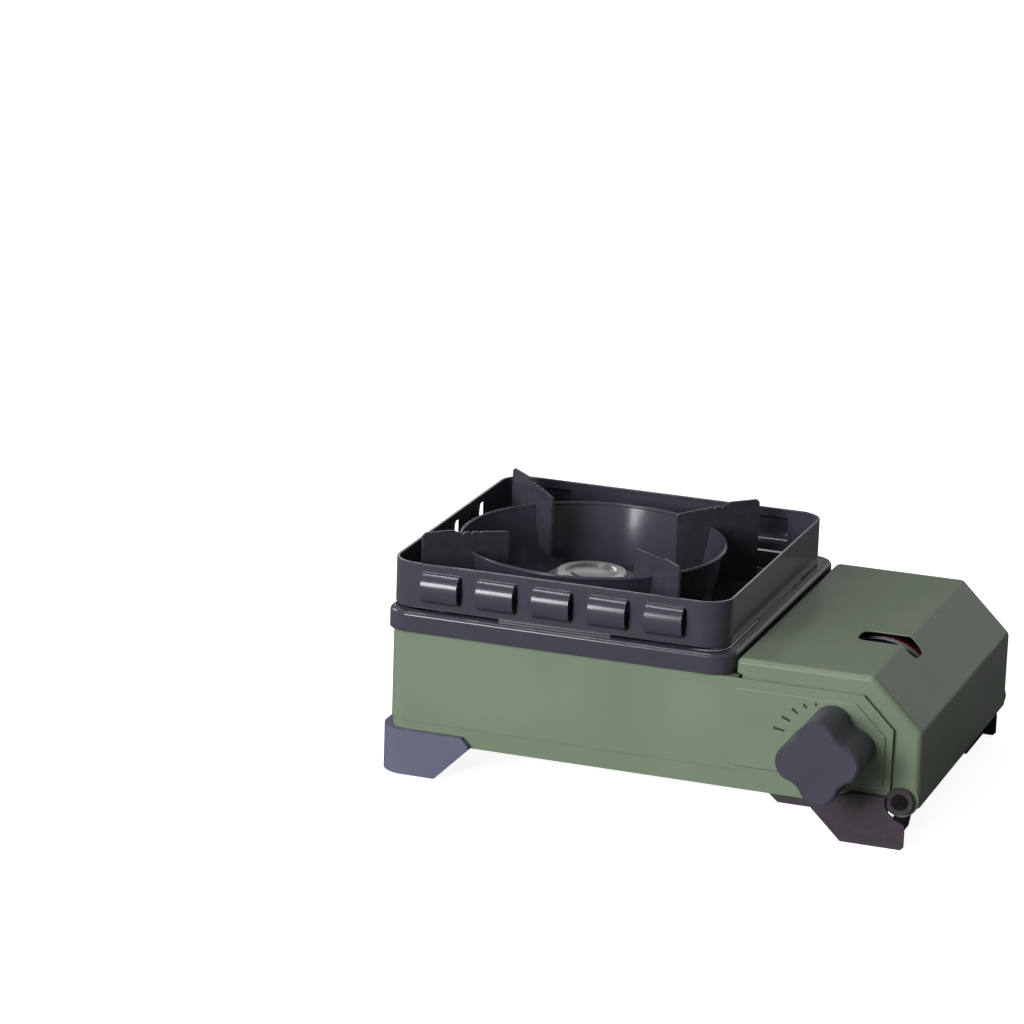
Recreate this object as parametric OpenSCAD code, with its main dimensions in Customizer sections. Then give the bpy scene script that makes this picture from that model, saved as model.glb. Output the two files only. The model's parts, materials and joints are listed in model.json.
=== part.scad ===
// Portable butane cassette stove: one burner on the left, gas canister bay on the right.
// X runs along the case from the burner to the canister bay, Y from the front to the back, Z up.
// The origin is on the table under the middle of the stove's outline.

/* [Case] */
// Width of the pressed case, from its left wall to the edge of its front wall on the right
case_w = 267.7; // [262:0.1:272]
// Depth of the case, front wall to rear wall
case_d = 187; // [182:1:196]
// Height of the case's lower edge above the table
case_bottom_z = 18.2; // [18:0.1:20]
// Height of the case's upper edge above the table
case_top_z = 76.5; // [75:0.1:78]
// Height of the horizontal crease in the case walls above their lower edge
crease_h = 10.4; // [6:0.1:14]
// Step of the walls inwards below the crease
crease_step = 0.8; // [0.4:0.1:1.2]
// Radius of the upright corners of the case
case_corner_r = 10; // [7:0.5:12]
// Thickness of the pressed steel sheet
sheet_t = 0.8; // [0.6:0.1:1.2]
// Width of the flange that is turned inwards along the case's upper edge
case_flange_w = 7; // [6:0.5:9]

/* [Canister cover] */
// Left edge of the cover
cover_left_x = 184.9; // [184.6:0.1:186]
// Right side of the cover
cover_right_x = 282; // [280:0.5:286]
// Height of the cover's flat top above the table
cover_top_z = 86.2; // [85.8:0.1:88]
// Width of the sloping face of the cover, seen from above
cover_slope_w = 26.5; // [22:0.5:28]
// Height of the sloping face of the cover
cover_slope_h = 26; // [22:0.5:28]
// Width of the cover's end flanges, which reach down behind the case's front wall
cover_flange_w = 12; // [11:0.5:12.4]
// Radius of the cover's pressed edges
cover_edge_r = 3.5; // [2:0.5:4]
// Set-back of the cover's ends from the case's front and rear faces
cover_end_inset = 2.2; // [2:0.1:2.6]
// Distance of the rubber buffers under the cover from the case's front and rear walls
buffer_inset = 40; // [36:1:44]
// Radius of the rubber buffers
buffer_r = 4; // [3.5:0.1:4.5]
// Height of the rubber buffers
buffer_h = 4; // [3.5:0.1:4.5]

/* [Gas canister] */
// Diameter of the canister
can_dia = 67; // [66:0.5:68]
// Length of the canister with its collar
can_len = 160; // [158:0.5:161]
// Diameter of the canister's valve collar
can_collar_dia = 27; // [24:0.5:28]
// Distance of the canister's axis from the right side of the cover
can_axis_inset = 44; // [43:0.5:46]

/* [Knob] */
// Diameter of the knob over its lobes
knob_dia = 43; // [38:0.5:46]
// Radius of the rounded tip of each lobe
knob_lobe_r = 10; // [9.6:0.1:10.4]
// Distance from the knob's axis to the bottom of the hollows between its lobes
knob_waist_r = 16.3; // [16:0.1:16.6]
// Distance from the case's front face to the front of the knob
knob_reach = 32; // [28:0.5:36]
// Angle through which the knob turns, from off to full flame
knob_turn_angle = 115; // [90:1:120]
// Stroke that the knob's cam gives to the igniter
igniter_stroke = 5; // [3:0.5:5]

/* [Drip tray] */
// Overhang of the tray's skirt past the case walls
tray_overhang = 2.2; // [1.8:0.1:2.6]
// Height of the tray's skirt
tray_skirt_h = 10.7; // [10:0.1:11]
// Right edge of the tray's skirt
tray_right_x = 184; // [183:0.1:184.3]
// Thickness of the enamelled steel
enamel_t = 1; // [0.8:0.1:1.2]
// Width of the ledge round the tray
tray_ledge_w = 6.5; // [6:0.1:7.5]
// Diameter of the sloping bowl round the burner
bowl_dia = 124; // [110:1:126]
// Depth of the bowl below the tray's floor
bowl_drop = 5; // [3:0.5:5.5]

/* [Wind shields] */
// Height of the square wind shield's top above the table
shield_top_z = 112.3; // [108:0.1:116]
// Radius of the square wind shield's corners
shield_corner_r = 14; // [10:0.5:18]
// Gap under the square wind shield, between its feet
shield_gap = 0.9; // [0.5:0.1:1.5]
// Number of louvres in the front wall of the square wind shield
louvre_count = 5; // [3:1:5]
// Distance between neighbouring louvres
louvre_pitch = 29.9; // [27:0.1:31]
// Length of one louvre
louvre_len = 20; // [16:0.5:22]
// Height of one louvre
louvre_h = 16; // [12:0.5:17]
// Distance that a louvre stands out from its wall
louvre_out = 5; // [3:0.5:6]
// Diameter of the round wind shield at its rim
ring_dia = 141; // [136:0.5:143]
// Height of the round wind shield's rim above the table
ring_top_z = 109.7; // [106:0.1:114]
// Distance of the burner's axis from the case's left wall
burner_x = 77.5; // [76:0.5:80]

/* [Pot supports] */
// Height of the pot supports' tips above the table
support_top_z = 122; // [116:0.5:126]
// Thickness of the pot supports
support_t = 1.4; // [1.2:0.1:2]
// Radius from the burner's axis to the inner ends of the pot supports
support_inner_r = 49; // [46:0.5:52]
// Radius from the burner's axis to the outer ends of the pot supports
support_outer_r = 98; // [94:0.5:100]

/* [Burner] */
// Height of the burner's top above the table
burner_top_z = 92; // [89:0.5:96]
// Diameter of the burner head's flange
burner_head_dia = 47; // [42:0.5:48]
// Diameter of the raised ring on the burner head
burner_ring_dia = 38; // [34:0.5:39]
// Number of flame ports round the burner head
port_count = 24; // [16:1:32]
// Diameter of the mixing tube
mixing_tube_dia = 19; // [16:0.5:20]
// Distance of the mixing tube's mouth from the burner's axis
tube_reach = 78; // [77:0.5:79]
// Distance of the heat panel's left edge from the burner's axis
heat_panel_reach = 65; // [64:0.5:66]

/* [Legs] */
// Reach of the left feet along the front and rear walls, at the top
foot_w = 50; // [44:1:56]
// Height of the left feet
foot_h = 24; // [22:0.5:26]
// Wall of the left feet outside the case
foot_wall = 3; // [2.5:0.1:3.5]
// Width of a right leg plate's lower edge
leg_base_w = 32.6; // [28:0.1:36]
// Distance of a right leg plate's lower edge from the right side of the cover
leg_inset = 5.2; // [5:0.1:7]

/* [Hidden] */
$fn = 64;
// Clearance between a moving or lifted piece and its neighbour
clear = 0.3;
// Radial running clearance of a shaft or pin in its hole
running = 0.05;
// Length by which a cutting shape passes a face
over = 1;

// Case
crease_z = case_bottom_z + crease_h;
low_out = crease_step;
case_screw_z = case_bottom_z + crease_h / 2;
case_screw_y = [60, case_d - 60];
case_screw_x = [70, 140];
case_screw_len = 2 * sheet_t + 2;
low_in = crease_step + sheet_t;
mid_y = case_d / 2;

// Canister cover
cover_slope_x = cover_right_x - cover_slope_w;
cover_slope_z = cover_top_z - cover_slope_h;
case_slope_gap = cover_top_z - case_top_z;
slope_tan = cover_slope_h / cover_slope_w;
slope_len = sqrt(cover_slope_w * cover_slope_w + cover_slope_h * cover_slope_h);
// The case's front wall follows the cover's outline at an even distance
case_slope_top_x = cover_slope_x - case_slope_gap * (slope_len - cover_slope_w) / cover_slope_h;
case_slope_foot_z = case_top_z - (case_w - case_slope_top_x) * slope_tan;
hinge_x = cover_right_x - 9;
hinge_z = case_bottom_z + 6.3;
hinge_pin_dia = 4;
hinge_ear_r = cover_right_x - hinge_x;
field_out = 1;
cover_bottom_z = hinge_z - 3.8;
cover_ear_w = 18;
cover_lip_h = 8.2;
// Share of a bend's radius by which its middle stands back along the flat side
cover_bend_share = (slope_len - cover_slope_w) / cover_slope_h;
window_x0 = cover_slope_x - 24.5;
window_x1 = cover_slope_x + 7;
window_y0 = 58;
window_y1 = 75;
window_r = 5;

// Canister and its bay
can_x = cover_right_x - can_axis_inset;
can_r = can_dia / 2;
can_z = case_bottom_z - 3.2 + can_r;
can_back_y = case_d - 7;
can_front_y = can_back_y - can_len;
can_collar_len = 7;
can_shoulder_len = 9;
can_seam_r = 0.9;
can_body_r = can_r - can_seam_r;
can_wall = 0.4;
can_stem_r = 1.9;
partition_x = cover_left_x + 1.6;
trough_drop = 4.3;
trough_z = case_bottom_z - trough_drop;
trough_half = 28;
trough_slope = 5;
trough_left_x = can_x - trough_half;
trough_right_x = hinge_x - hinge_ear_r - clear - 1;
trough_end = 1.2;
trough_lip_h = 5;
heat_panel_w = 26;
heat_panel_t = 0.5;

// Tray
tray_x0 = -tray_overhang;
tray_y0 = -tray_overhang;
tray_y1 = case_d + tray_overhang;
tray_w = tray_right_x - tray_x0;
tray_len = tray_y1 - tray_y0;
tray_corner_r = case_corner_r + tray_overhang;
tray_bottom_z = case_top_z + clear;
tray_top_z = tray_bottom_z + tray_skirt_h;
tray_floor_z = tray_bottom_z + enamel_t;
well_inset = tray_ledge_w;
well_corner_r = tray_corner_r - tray_ledge_w + 3;

// Wind shields
shield_x0 = tray_x0 + 0.3;
shield_x1 = tray_right_x - 5.8;
shield_inset_y = 3.4;
shield_y0 = shield_inset_y;
shield_y1 = case_d - shield_inset_y;
shield_w = shield_x1 - shield_x0;
shield_len = shield_y1 - shield_y0;
shield_bottom_z = tray_top_z + shield_gap;
shield_t = 0.8;
shield_foot_w = 60;
shield_roll = 1.5;
louvre_mid_z = shield_bottom_z + 11.6;
louvre_x0 = (shield_x0 + shield_x1) / 2 - 1.4;
rear_louvre_pitch = 123;
side_louvre_count = 3;
side_louvre_pitch = 38;
// The side louvres end level with the feet
side_louvre_out = foot_wall + 1 + shield_x0;
ring_r = ring_dia / 2;
ring_t = 0.8;
ring_roll_r = 1.1;
ring_taper = 7.2;
ring_slot_gap = 0.2;
support_slot_z = tray_floor_z + 8.2;
support_tab_r = 84;

// Burner
burner_y = mid_y;
head_r = burner_head_dia / 2;
head_bottom_z = burner_top_z - 22;
head_flange_z = burner_top_z - 3.5;
bowl_r = bowl_dia / 2;
bowl_hole_r = head_r + 2;
bowl_floor_z = tray_floor_z - bowl_drop;
bowl_lip_h = 4;
tube_r = mixing_tube_dia / 2;
tube_z = head_bottom_z - tube_r;
tube_mouth_x = burner_x + tube_reach;
jet_x = tube_mouth_x + 5;
bridge_t = 1.2;
bridge_half = 34;
bridge_w = 22;
bridge_top_z = tube_z - tube_r;
base_z = case_bottom_z + sheet_t;
electrode_r = 1.9;
electrode_x = burner_x;
electrode_y = burner_y - bowl_hole_r + electrode_r + 0.8;
electrode_z0 = bridge_top_z - 6;
electrode_l = 35;
screw_head_h = 1.6;
screw_head_r = 3.2;
screw_r = 1.5;

// Regulator, on the canister's axis
knob_x = can_x;
knob_z = can_z;
plate_y = 7.4;
plate_t = 1.2;
regulator_r = 21;
regulator_back_y = can_front_y - clear;
regulator_screw_z = 17;
regulator_screw_depth = 2;
magnet_out_r = 23;
magnet_in_r = can_collar_dia / 2 + 2;
magnet_t = can_collar_len - 2 * clear;
bracket_half_h = 21;
bracket_tab_x = 7;
bracket_tab_w = 4;
bracket_tab_z = 15;
shaft_r = 4;
bush_r = 7;
bush_head = 0.9;
cam_y0 = sheet_t + 1.4;
cam_t = 3;
cam_min_r = 8;
plunger_r = 2.2;
plunger_y = cam_y0 + cam_t / 2;
igniter_z = knob_z;
igniter_len = 24;
igniter_x = knob_x - regulator_r - 1;
lead_r = 1.2;
pipe_r = 2.5;
pipe_bend_r = 8;
pipe_y = regulator_back_y - 6;
pipe_z = 34;
pipe_turn_x = partition_x - 14;

// Knob
knob_r = knob_dia / 2;
knob_front_y = -knob_reach;
knob_gap = 1.2;
knob_wall = 2.2;
knob_face_t = 2.5;
knob_turned = 5;
knob_lobe_x = knob_r - knob_lobe_r;
// Radius of the hollows at which they meet the lobes without a corner
knob_hollow_r = (knob_waist_r * knob_waist_r - sqrt(2) * knob_lobe_x * knob_waist_r
    + knob_lobe_x * knob_lobe_x - knob_lobe_r * knob_lobe_r)
    / (2 * knob_lobe_r + sqrt(2) * knob_lobe_x - 2 * knob_waist_r);
knob_boss_r = 7.5;
knob_shaft_y = knob_front_y + 8;
cam_fall_a = 20;

// Legs
boot_out = foot_wall + 1;
boot_corner_r = case_corner_r + boot_out;
leg_t = 1.2;
leg_face_y = -foot_wall;
leg_x1 = cover_right_x - leg_inset;
leg_x0 = leg_x1 - leg_base_w;
leg_slant = 17.5;
leg_top_z = case_bottom_z + 8;
leg_notch_z = case_bottom_z - 4.4;
// Plane of the leg's wing, which runs inwards under the cover's edge
leg_wing_x = leg_x1 - 8;
leg_wing_z = case_bottom_z - 4.2;
recess_r = 7;

// Frame: the origin lies under the middle of the outline
outline_x0 = -boot_out;
outline_x1 = cover_right_x;
outline_y0 = knob_front_y;
outline_y1 = case_d + foot_wall;
frame_x = (outline_x0 + outline_x1) / 2;
frame_y = (outline_y0 + outline_y1) / 2;

// ---- Shared shapes ----

module in_frame() {
    translate([-frame_x, -frame_y, 0]) children();
}

// Flat outline of a rectangle with rounded corners, from its lower left corner
module rounded_outline(w, d, r) {
    union() {
        translate([r, 0]) square([w - 2 * r, d]);
        translate([0, r]) square([w, d - 2 * r]);
        for (x = [r, w - r], y = [r, d - r]) translate([x, y]) circle(r = r);
    }
}

module rounded_block(x0, y0, z0, w, d, h, r) {
    translate([x0, y0, z0]) linear_extrude(height = h) rounded_outline(w, d, r);
}

// Upright rounded wall: an outline extruded, with the inside taken away
module rounded_wall(x0, y0, z0, w, d, h, r, t) {
    difference() {
        rounded_block(x0, y0, z0, w, d, h, r);
        rounded_block(x0 + t, y0 + t, z0 - over, w - 2 * t, d - 2 * t, h + 2 * over, r - t);
    }
}

// A profile drawn in X and Z, extruded from the plane y0 towards the back
module front_profile(y0, depth) {
    translate([0, y0 + depth, 0]) rotate([90, 0, 0]) linear_extrude(height = depth) children();
}

// A cylinder along Y from the plane y0 towards the back
module rod_y(x, z, y0, length, r) {
    translate([x, y0, z]) rotate([-90, 0, 0]) cylinder(r = r, h = length);
}

// A cylinder along X from the plane x0 to the right
module rod_x(y, z, x0, length, r) {
    translate([x0, y, z]) rotate([0, 90, 0]) cylinder(r = r, h = length);
}

// Pan head screw with a cross recess, its head's seat at z = 0 and its shank below
module pan_screw(shank) {
    difference() {
        union() {
            cylinder(r = screw_head_r, h = screw_head_h);
            translate([0, 0, -shank]) cylinder(r = screw_r, h = shank);
        }
        for (a = [0, 90]) rotate([0, 0, a])
            translate([-2, -0.4, screw_head_h - 0.8]) cube([4, 0.8, 1]);
    }
}

// ---- Case ----

// Outline of the case's front and rear walls in X and Z
module case_profile() {
    polygon([
        [-over, case_bottom_z],
        [case_w, case_bottom_z],
        [case_w, case_slope_foot_z],
        [case_slope_top_x, case_top_z],
        [-over, case_top_z]
    ]);
}

// Raised field round the knob, in X and Z
module dial_field() {
    left = cover_left_x + 1;
    right = case_w - 3.5;
    top = case_top_z - 4.5;
    low = crease_z + 2;
    corner = 2;
    slope_x = case_slope_top_x - 2;
    slope_z = top - (right - slope_x) * slope_tan;
    hull() {
        for (p = [[left, low], [left, top], [slope_x, top], [right, slope_z], [right, low]])
            translate([p[0] + (p[0] == left ? corner : -corner), p[1] + (p[1] == low ? corner : -corner)])
                circle(r = corner, $fn = 32);
    }
}

module body_shell() {
    long = case_w + case_corner_r;
    color("#6c7f63") in_frame() difference() {
        union() {
            intersection() {
                union() {
                    rounded_wall(0, 0, crease_z, long, case_d, case_top_z - crease_z,
                        case_corner_r, sheet_t);
                    rounded_wall(low_out, low_out, case_bottom_z, long, case_d - 2 * low_out,
                        crease_h + sheet_t, case_corner_r - low_out, sheet_t);
                    // Flange along the upper edge, which carries the tray
                    difference() {
                        rounded_block(0, 0, case_top_z - sheet_t, long, case_d, sheet_t,
                            case_corner_r);
                        translate([case_flange_w, case_flange_w, case_top_z - 2 * sheet_t])
                            cube([long, case_d - 2 * case_flange_w, 3 * sheet_t]);
                        translate([partition_x, sheet_t, case_top_z - 2 * sheet_t])
                            cube([long, case_d - 2 * sheet_t, 3 * sheet_t]);
                    }
                }
                front_profile(-over, case_d + 2 * over) case_profile();
            }
            front_profile(-field_out, field_out + sheet_t / 2) dial_field();
        }
        // Hole for the knob's shaft bush
        rod_y(knob_x, knob_z, -over, over + 2 * sheet_t, bush_r);
        casing_screw_holes();
    }
}

module base_plate() {
    vent_r = 4;
    vent_ring_r = 40;
    vent_count = 12;
    x0 = low_in;
    w = partition_x - x0;
    d = case_d - 2 * low_in;
    rim_h = 8;
    color("#8d9094") in_frame() difference() {
        union() {
            difference() {
                rounded_block(x0, low_in, case_bottom_z, w + case_corner_r, d, rim_h,
                    case_corner_r - low_in);
                rounded_block(x0 + sheet_t, low_in + sheet_t, base_z, w + case_corner_r,
                    d - 2 * sheet_t, rim_h, case_corner_r - low_in - sheet_t);
                translate([partition_x, 0, case_bottom_z - over])
                    cube([2 * case_corner_r, case_d, rim_h + 2 * over]);
            }
            // Pressed ring that stiffens the floor under the burner
            translate([burner_x, burner_y, case_bottom_z]) difference() {
                cylinder(r = vent_ring_r + 12, h = sheet_t + 1.5);
                translate([0, 0, -over]) cylinder(r = vent_ring_r + 9, h = 6);
            }
        }
        for (i = [0 : vent_count - 1])
            translate([burner_x, burner_y, 0]) rotate([0, 0, i * 360 / vent_count])
                translate([vent_ring_r, 0, case_bottom_z - over]) cylinder(r = vent_r, h = 5);
        translate([burner_x, burner_y, case_bottom_z - over]) cylinder(r = 20, h = 5);
        casing_screw_holes();
        for (s = [-1, 1])
            translate([burner_x, burner_y + s * (bridge_half + 4), case_bottom_z - over])
                cylinder(r = screw_r + running, h = 5);
    }
}

// Section of the canister bay's floor in X and Z
module trough_profile(t) {
    s = trough_slope;
    polygon([
        [partition_x, case_bottom_z],
        [trough_left_x - s, case_bottom_z],
        [trough_left_x, trough_z],
        [trough_right_x - s, trough_z],
        [trough_right_x, case_bottom_z],
        [trough_right_x, case_bottom_z + trough_lip_h],
        [trough_right_x - t, case_bottom_z + trough_lip_h],
        [trough_right_x - t, case_bottom_z + t * 0.6],
        [trough_right_x - s - t * 0.4, trough_z + t],
        [trough_left_x + t * 0.4, trough_z + t],
        [trough_left_x - s + t * 0.4, case_bottom_z + t],
        [partition_x, case_bottom_z + t]
    ]);
}

module canister_trough() {
    color("#4a4b50") in_frame() union() {
        front_profile(low_in, case_d - 2 * low_in) trough_profile(sheet_t);
        // End walls that close the dip below the case
        for (y = [low_in, case_d - low_in - trough_end]) front_profile(y, trough_end)
            polygon([
                [trough_left_x - trough_slope, case_bottom_z],
                [trough_left_x, trough_z],
                [trough_right_x - trough_slope, trough_z],
                [trough_right_x, case_bottom_z],
                [trough_right_x, case_bottom_z + 2],
                [trough_left_x - trough_slope, case_bottom_z + 2]
            ]);
    }
}

module partition_wall() {
    flange = 8;
    slot_w = heat_panel_w + 1;
    color("#4a4b50") in_frame() difference() {
        union() {
            translate([partition_x, low_in, base_z])
                cube([sheet_t, case_d - 2 * low_in, case_top_z - base_z - sheet_t]);
            translate([partition_x - flange, low_in + sheet_t, base_z])
                cube([flange, case_d - 2 * low_in - 2 * sheet_t, sheet_t]);
            // Flange under the tray's right edge
            translate([partition_x - flange, case_flange_w, case_top_z - sheet_t])
                cube([flange + sheet_t, case_d - 2 * case_flange_w, sheet_t]);
        }
        // Hole for the gas pipe, with room for its grommet
        rod_x(pipe_y, pipe_z, partition_x - over, 3, pipe_r + 1);
        rod_x(sheet_t + 8, igniter_z, partition_x - over, 3, lead_r + 0.5);
        // Slot for the heat panel
        translate([partition_x - flange - over, mid_y - slot_w / 2, case_bottom_z])
            cube([flange + 3, slot_w, 3 * sheet_t + heat_panel_t]);
    }
}

// Strip that carries heat from the burner's side to the canister
module heat_panel() {
    s = trough_slope;
    t = heat_panel_t;
    k = sheet_t;
    x0 = burner_x + heat_panel_reach;
    color("#b9bcc0") in_frame() front_profile(mid_y - heat_panel_w / 2, heat_panel_w) polygon([
        [x0, base_z],
        [trough_left_x - s + k * 0.4, base_z],
        [trough_left_x + k * 0.4, trough_z + k],
        [trough_right_x - s - k, trough_z + k],
        [trough_right_x - s - k, trough_z + k + t],
        [trough_left_x + k * 0.4 + t * 0.4, trough_z + k + t],
        [trough_left_x - s + k * 0.4 + t * 0.4, base_z + t],
        [x0, base_z + t]
    ]);
}

// ---- Legs ----

// Outline of a right leg plate in X and Z
module leg_profile() {
    difference() {
        polygon([
            [leg_x0, 0],
            [leg_x1 - 1.5, 0],
            [leg_x1, 1.5],
            [leg_x1, leg_notch_z - 2],
            [leg_x1 - 0.6, leg_notch_z - 0.6],
            [leg_x1 - 2, leg_notch_z],
            [hinge_x - 2, leg_notch_z + 1.5],
            [hinge_x - 2, leg_top_z],
            [leg_x0 + 5, leg_top_z],
            [leg_x0 - 10, case_bottom_z + 2.8],
            [leg_x0 - leg_slant, case_bottom_z - 1.2]
        ]);
        translate([hinge_x + 1, hinge_z - 0.8]) circle(r = recess_r + 1);
    }
}

// Pressed leg at the front: a face plate, a return along its outline and a wing turned inwards
module leg_plate() {
    depth = foot_wall + low_out;
    color("#3c373c") union() {
        front_profile(leg_face_y, leg_t) leg_profile();
        // Wing that runs inwards and stands on the table
        translate([leg_wing_x, 0, 0]) rotate([90, 0, 90]) linear_extrude(height = leg_t) polygon([
            [leg_face_y, 0],
            [34, 0],
            [43, 9],
            [46, leg_wing_z],
            [leg_face_y, leg_wing_z]
        ]);
        // Return that stands the face off the case wall
        front_profile(leg_face_y, depth) intersection() {
            leg_profile();
            translate([leg_x0 - leg_slant, case_bottom_z + 0.5]) square([60, leg_top_z]);
        }
        // Seat of the hinge pin, at the bottom of the recess
        difference() {
            union() {
                rod_y(hinge_x, hinge_z, -leg_t, leg_t, recess_r);
                translate([hinge_x - recess_r - 3, -leg_t, hinge_z - 5])
                    cube([recess_r + 3, leg_t, leg_top_z - hinge_z + 5]);
            }
            rod_y(hinge_x, hinge_z, -foot_wall, 2 * foot_wall, hinge_pin_dia / 2);
        }
    }
}

module front_leg_plate() {
    in_frame() leg_plate();
}

module rear_leg_plate() {
    in_frame() translate([0, case_d, 0]) mirror([0, 1, 0]) leg_plate();
}

// Left foot at the front: a plastic boot that hugs the case's corner
module corner_boot() {
    lap = 10;
    rise = foot_h - case_bottom_z;
    side_w = foot_w - 4;
    color("#5a5c6b") difference() {
        union() {
            intersection() {
                rounded_block(-boot_out, -foot_wall, 0, foot_w * 2, foot_w * 2, foot_h, boot_corner_r);
                union() {
                    // Reach along the front wall, with its lower corner cut away at 45 degrees
                    front_profile(-foot_wall, foot_wall + lap) polygon([
                        [-boot_out, 0],
                        [foot_w - boot_out - 18, 0],
                        [foot_w - boot_out, 18],
                        [foot_w - boot_out, foot_h - 4],
                        [foot_w - boot_out - 4, foot_h],
                        [-boot_out, foot_h]
                    ]);
                    // Reach along the left wall
                    translate([-boot_out, -foot_wall, 0]) cube([boot_out + lap, side_w, foot_h]);
                }
            }
        }
        // Seat of the case: its lower corner sits in the boot
        rounded_block(low_out, low_out, case_bottom_z, foot_w * 2, foot_w * 2, crease_h,
            case_corner_r - low_out);
        rounded_block(0, 0, crease_z, foot_w * 2, foot_w * 2, foot_h, case_corner_r);
        // Hollow underside
        translate([3, 3, 3]) cube([lap - 4, lap - 4, case_bottom_z - 6]);
    }
}

module left_front_foot() {
    in_frame() corner_boot();
}

module left_rear_foot() {
    in_frame() translate([0, case_d, 0]) mirror([0, 1, 0]) corner_boot();
}

// Screws through the case walls into the rim of the base plate
module casing_screws() {
    color("#a9acb0") in_frame() {
        for (y = case_screw_y) translate([low_out, y, case_screw_z]) rotate([0, -90, 0])
            pan_screw(case_screw_len);
        for (x = case_screw_x) translate([x, case_d - low_out, case_screw_z]) rotate([-90, 0, 0])
            pan_screw(case_screw_len);
    }
}

// Holes for those screws
module casing_screw_holes() {
    for (y = case_screw_y) rod_x(y, case_screw_z, -over, low_in + sheet_t + 2 * over, screw_r + running);
    for (x = case_screw_x)
        rod_y(x, case_screw_z, case_d - low_in - sheet_t - over, low_in + 3 * over, screw_r + running);
}

// Rivet-headed pins on which the cover turns, one at each end
module hinge_pins() {
    head_r = 4;
    head_h = 1.4;
    length = cover_end_inset + sheet_t + clear;
    color("#3c373c") in_frame() for (end = [0, 1])
        translate([0, end * case_d, 0]) mirror([0, end, 0]) {
            rod_y(hinge_x, hinge_z, -leg_t - head_h, head_h, head_r);
            rod_y(hinge_x, hinge_z, -leg_t - head_h, leg_t + head_h + length + 1, hinge_pin_dia / 2);
            rod_y(hinge_x, hinge_z, length, 1, hinge_pin_dia / 2 + 1);
        }
}

// ---- Regulator and gas way ----

// Bracket that stands off the front wall on four tabs and carries the regulator
module regulator_bracket() {
    foot_h1 = 4;
    color("#b9bcc0") in_frame() difference() {
        union() {
            front_profile(plate_y - plate_t, plate_t) translate([knob_x, knob_z])
                square([2 * regulator_r, 2 * bracket_half_h], center = true);
            for (sx = [-1, 1], sz = [-1, 1]) translate([knob_x, 0, knob_z]) mirror([0, 0, sz < 0 ? 1 : 0])
                translate([sx * bracket_tab_x - bracket_tab_w / 2, sheet_t, bracket_tab_z]) {
                    cube([bracket_tab_w, plate_y - sheet_t - plate_t / 2, plate_t]);
                    cube([bracket_tab_w, plate_t, foot_h1]);
                }
        }
        rod_y(knob_x, knob_z, 0, plate_y + over, bush_r + 1);
        for (s = [-1, 1])
            rod_y(knob_x, knob_z + s * regulator_screw_z, 3, plate_y, screw_r);
    }
}

// Screws that clamp the regulator to its bracket
module regulator_screws() {
    color("#c9ccd0") in_frame() for (s = [-1, 1])
        translate([knob_x, plate_y - plate_t, knob_z + s * regulator_screw_z]) rotate([90, 0, 0])
            pan_screw(plate_t + regulator_screw_depth);
}

// Zinc regulator body: a stepped drum with an outlet on its left
module regulator_body() {
    flange_t = 2.5;
    bore_r = shaft_r + running;
    drum_l = regulator_back_y - plate_y;
    color("#9a9da1") in_frame() difference() {
        union() {
            rod_y(knob_x, knob_z, plate_y, drum_l, regulator_r - 2);
            rod_y(knob_x, knob_z, plate_y, flange_t, regulator_r);
            rod_y(knob_x, knob_z, regulator_back_y - flange_t, flange_t, magnet_out_r);
            // Outlet boss for the gas pipe
            rod_x(pipe_y, pipe_z, knob_x - regulator_r - 3, 14, pipe_r + 2);
        }
        // Bore that holds the end of the knob's shaft
        rod_y(knob_x, knob_z, plate_y - over, over + 5, bore_r);
        // Seat of the inlet seal
        rod_y(knob_x, knob_z, regulator_back_y - 2.5, 5, 7);
        // Seat of the gas pipe
        rod_x(pipe_y, pipe_z, knob_x - regulator_r - 3 - over, 4 + over, pipe_r);
        for (s = [-1, 1])
            rod_y(
                knob_x, knob_z + s * regulator_screw_z,
                plate_y - over, over + regulator_screw_depth, screw_r
            );
    }
}

module magnet_ring() {
    color("#3a3b3f") in_frame() difference() {
        rod_y(knob_x, knob_z, regulator_back_y, magnet_t, magnet_out_r);
        rod_y(knob_x, knob_z, regulator_back_y - over, magnet_t + 2 * over, magnet_in_r);
    }
}

module inlet_seal() {
    color("#2b2b2d") in_frame() difference() {
        rod_y(knob_x, knob_z, regulator_back_y - 2.5, 2, 7);
        rod_y(knob_x, knob_z, regulator_back_y - 3.5, 4, 3);
    }
}

module inlet_probe() {
    color("#c2a35a") in_frame() difference() {
        union() {
            rod_y(knob_x, knob_z, regulator_back_y - 2.5, 3.5, 3);
            rod_y(knob_x, knob_z, regulator_back_y - 0.5, 1, 4.5);
        }
        rod_y(knob_x, knob_z, regulator_back_y - 1.5, 5, 1.8);
    }
}

// Plastic bush in the front wall, in which the knob's shaft turns
module shaft_bush() {
    color("#d8d8d4") in_frame() difference() {
        union() {
            rod_y(knob_x, knob_z, -field_out - bush_head, bush_head, bush_r + 1.5);
            rod_y(knob_x, knob_z, -field_out - bush_head, bush_head + field_out + sheet_t + 0.4, bush_r);
        }
        rod_y(knob_x, knob_z, -2, 6, shaft_r + running);
    }
}

// Quarter bend of the gas pipe, its ends along +X and +Y from its own corner
module pipe_bend() {
    rotate_extrude(angle = 90) translate([pipe_bend_r, 0]) circle(r = pipe_r, $fn = 32);
}

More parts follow.
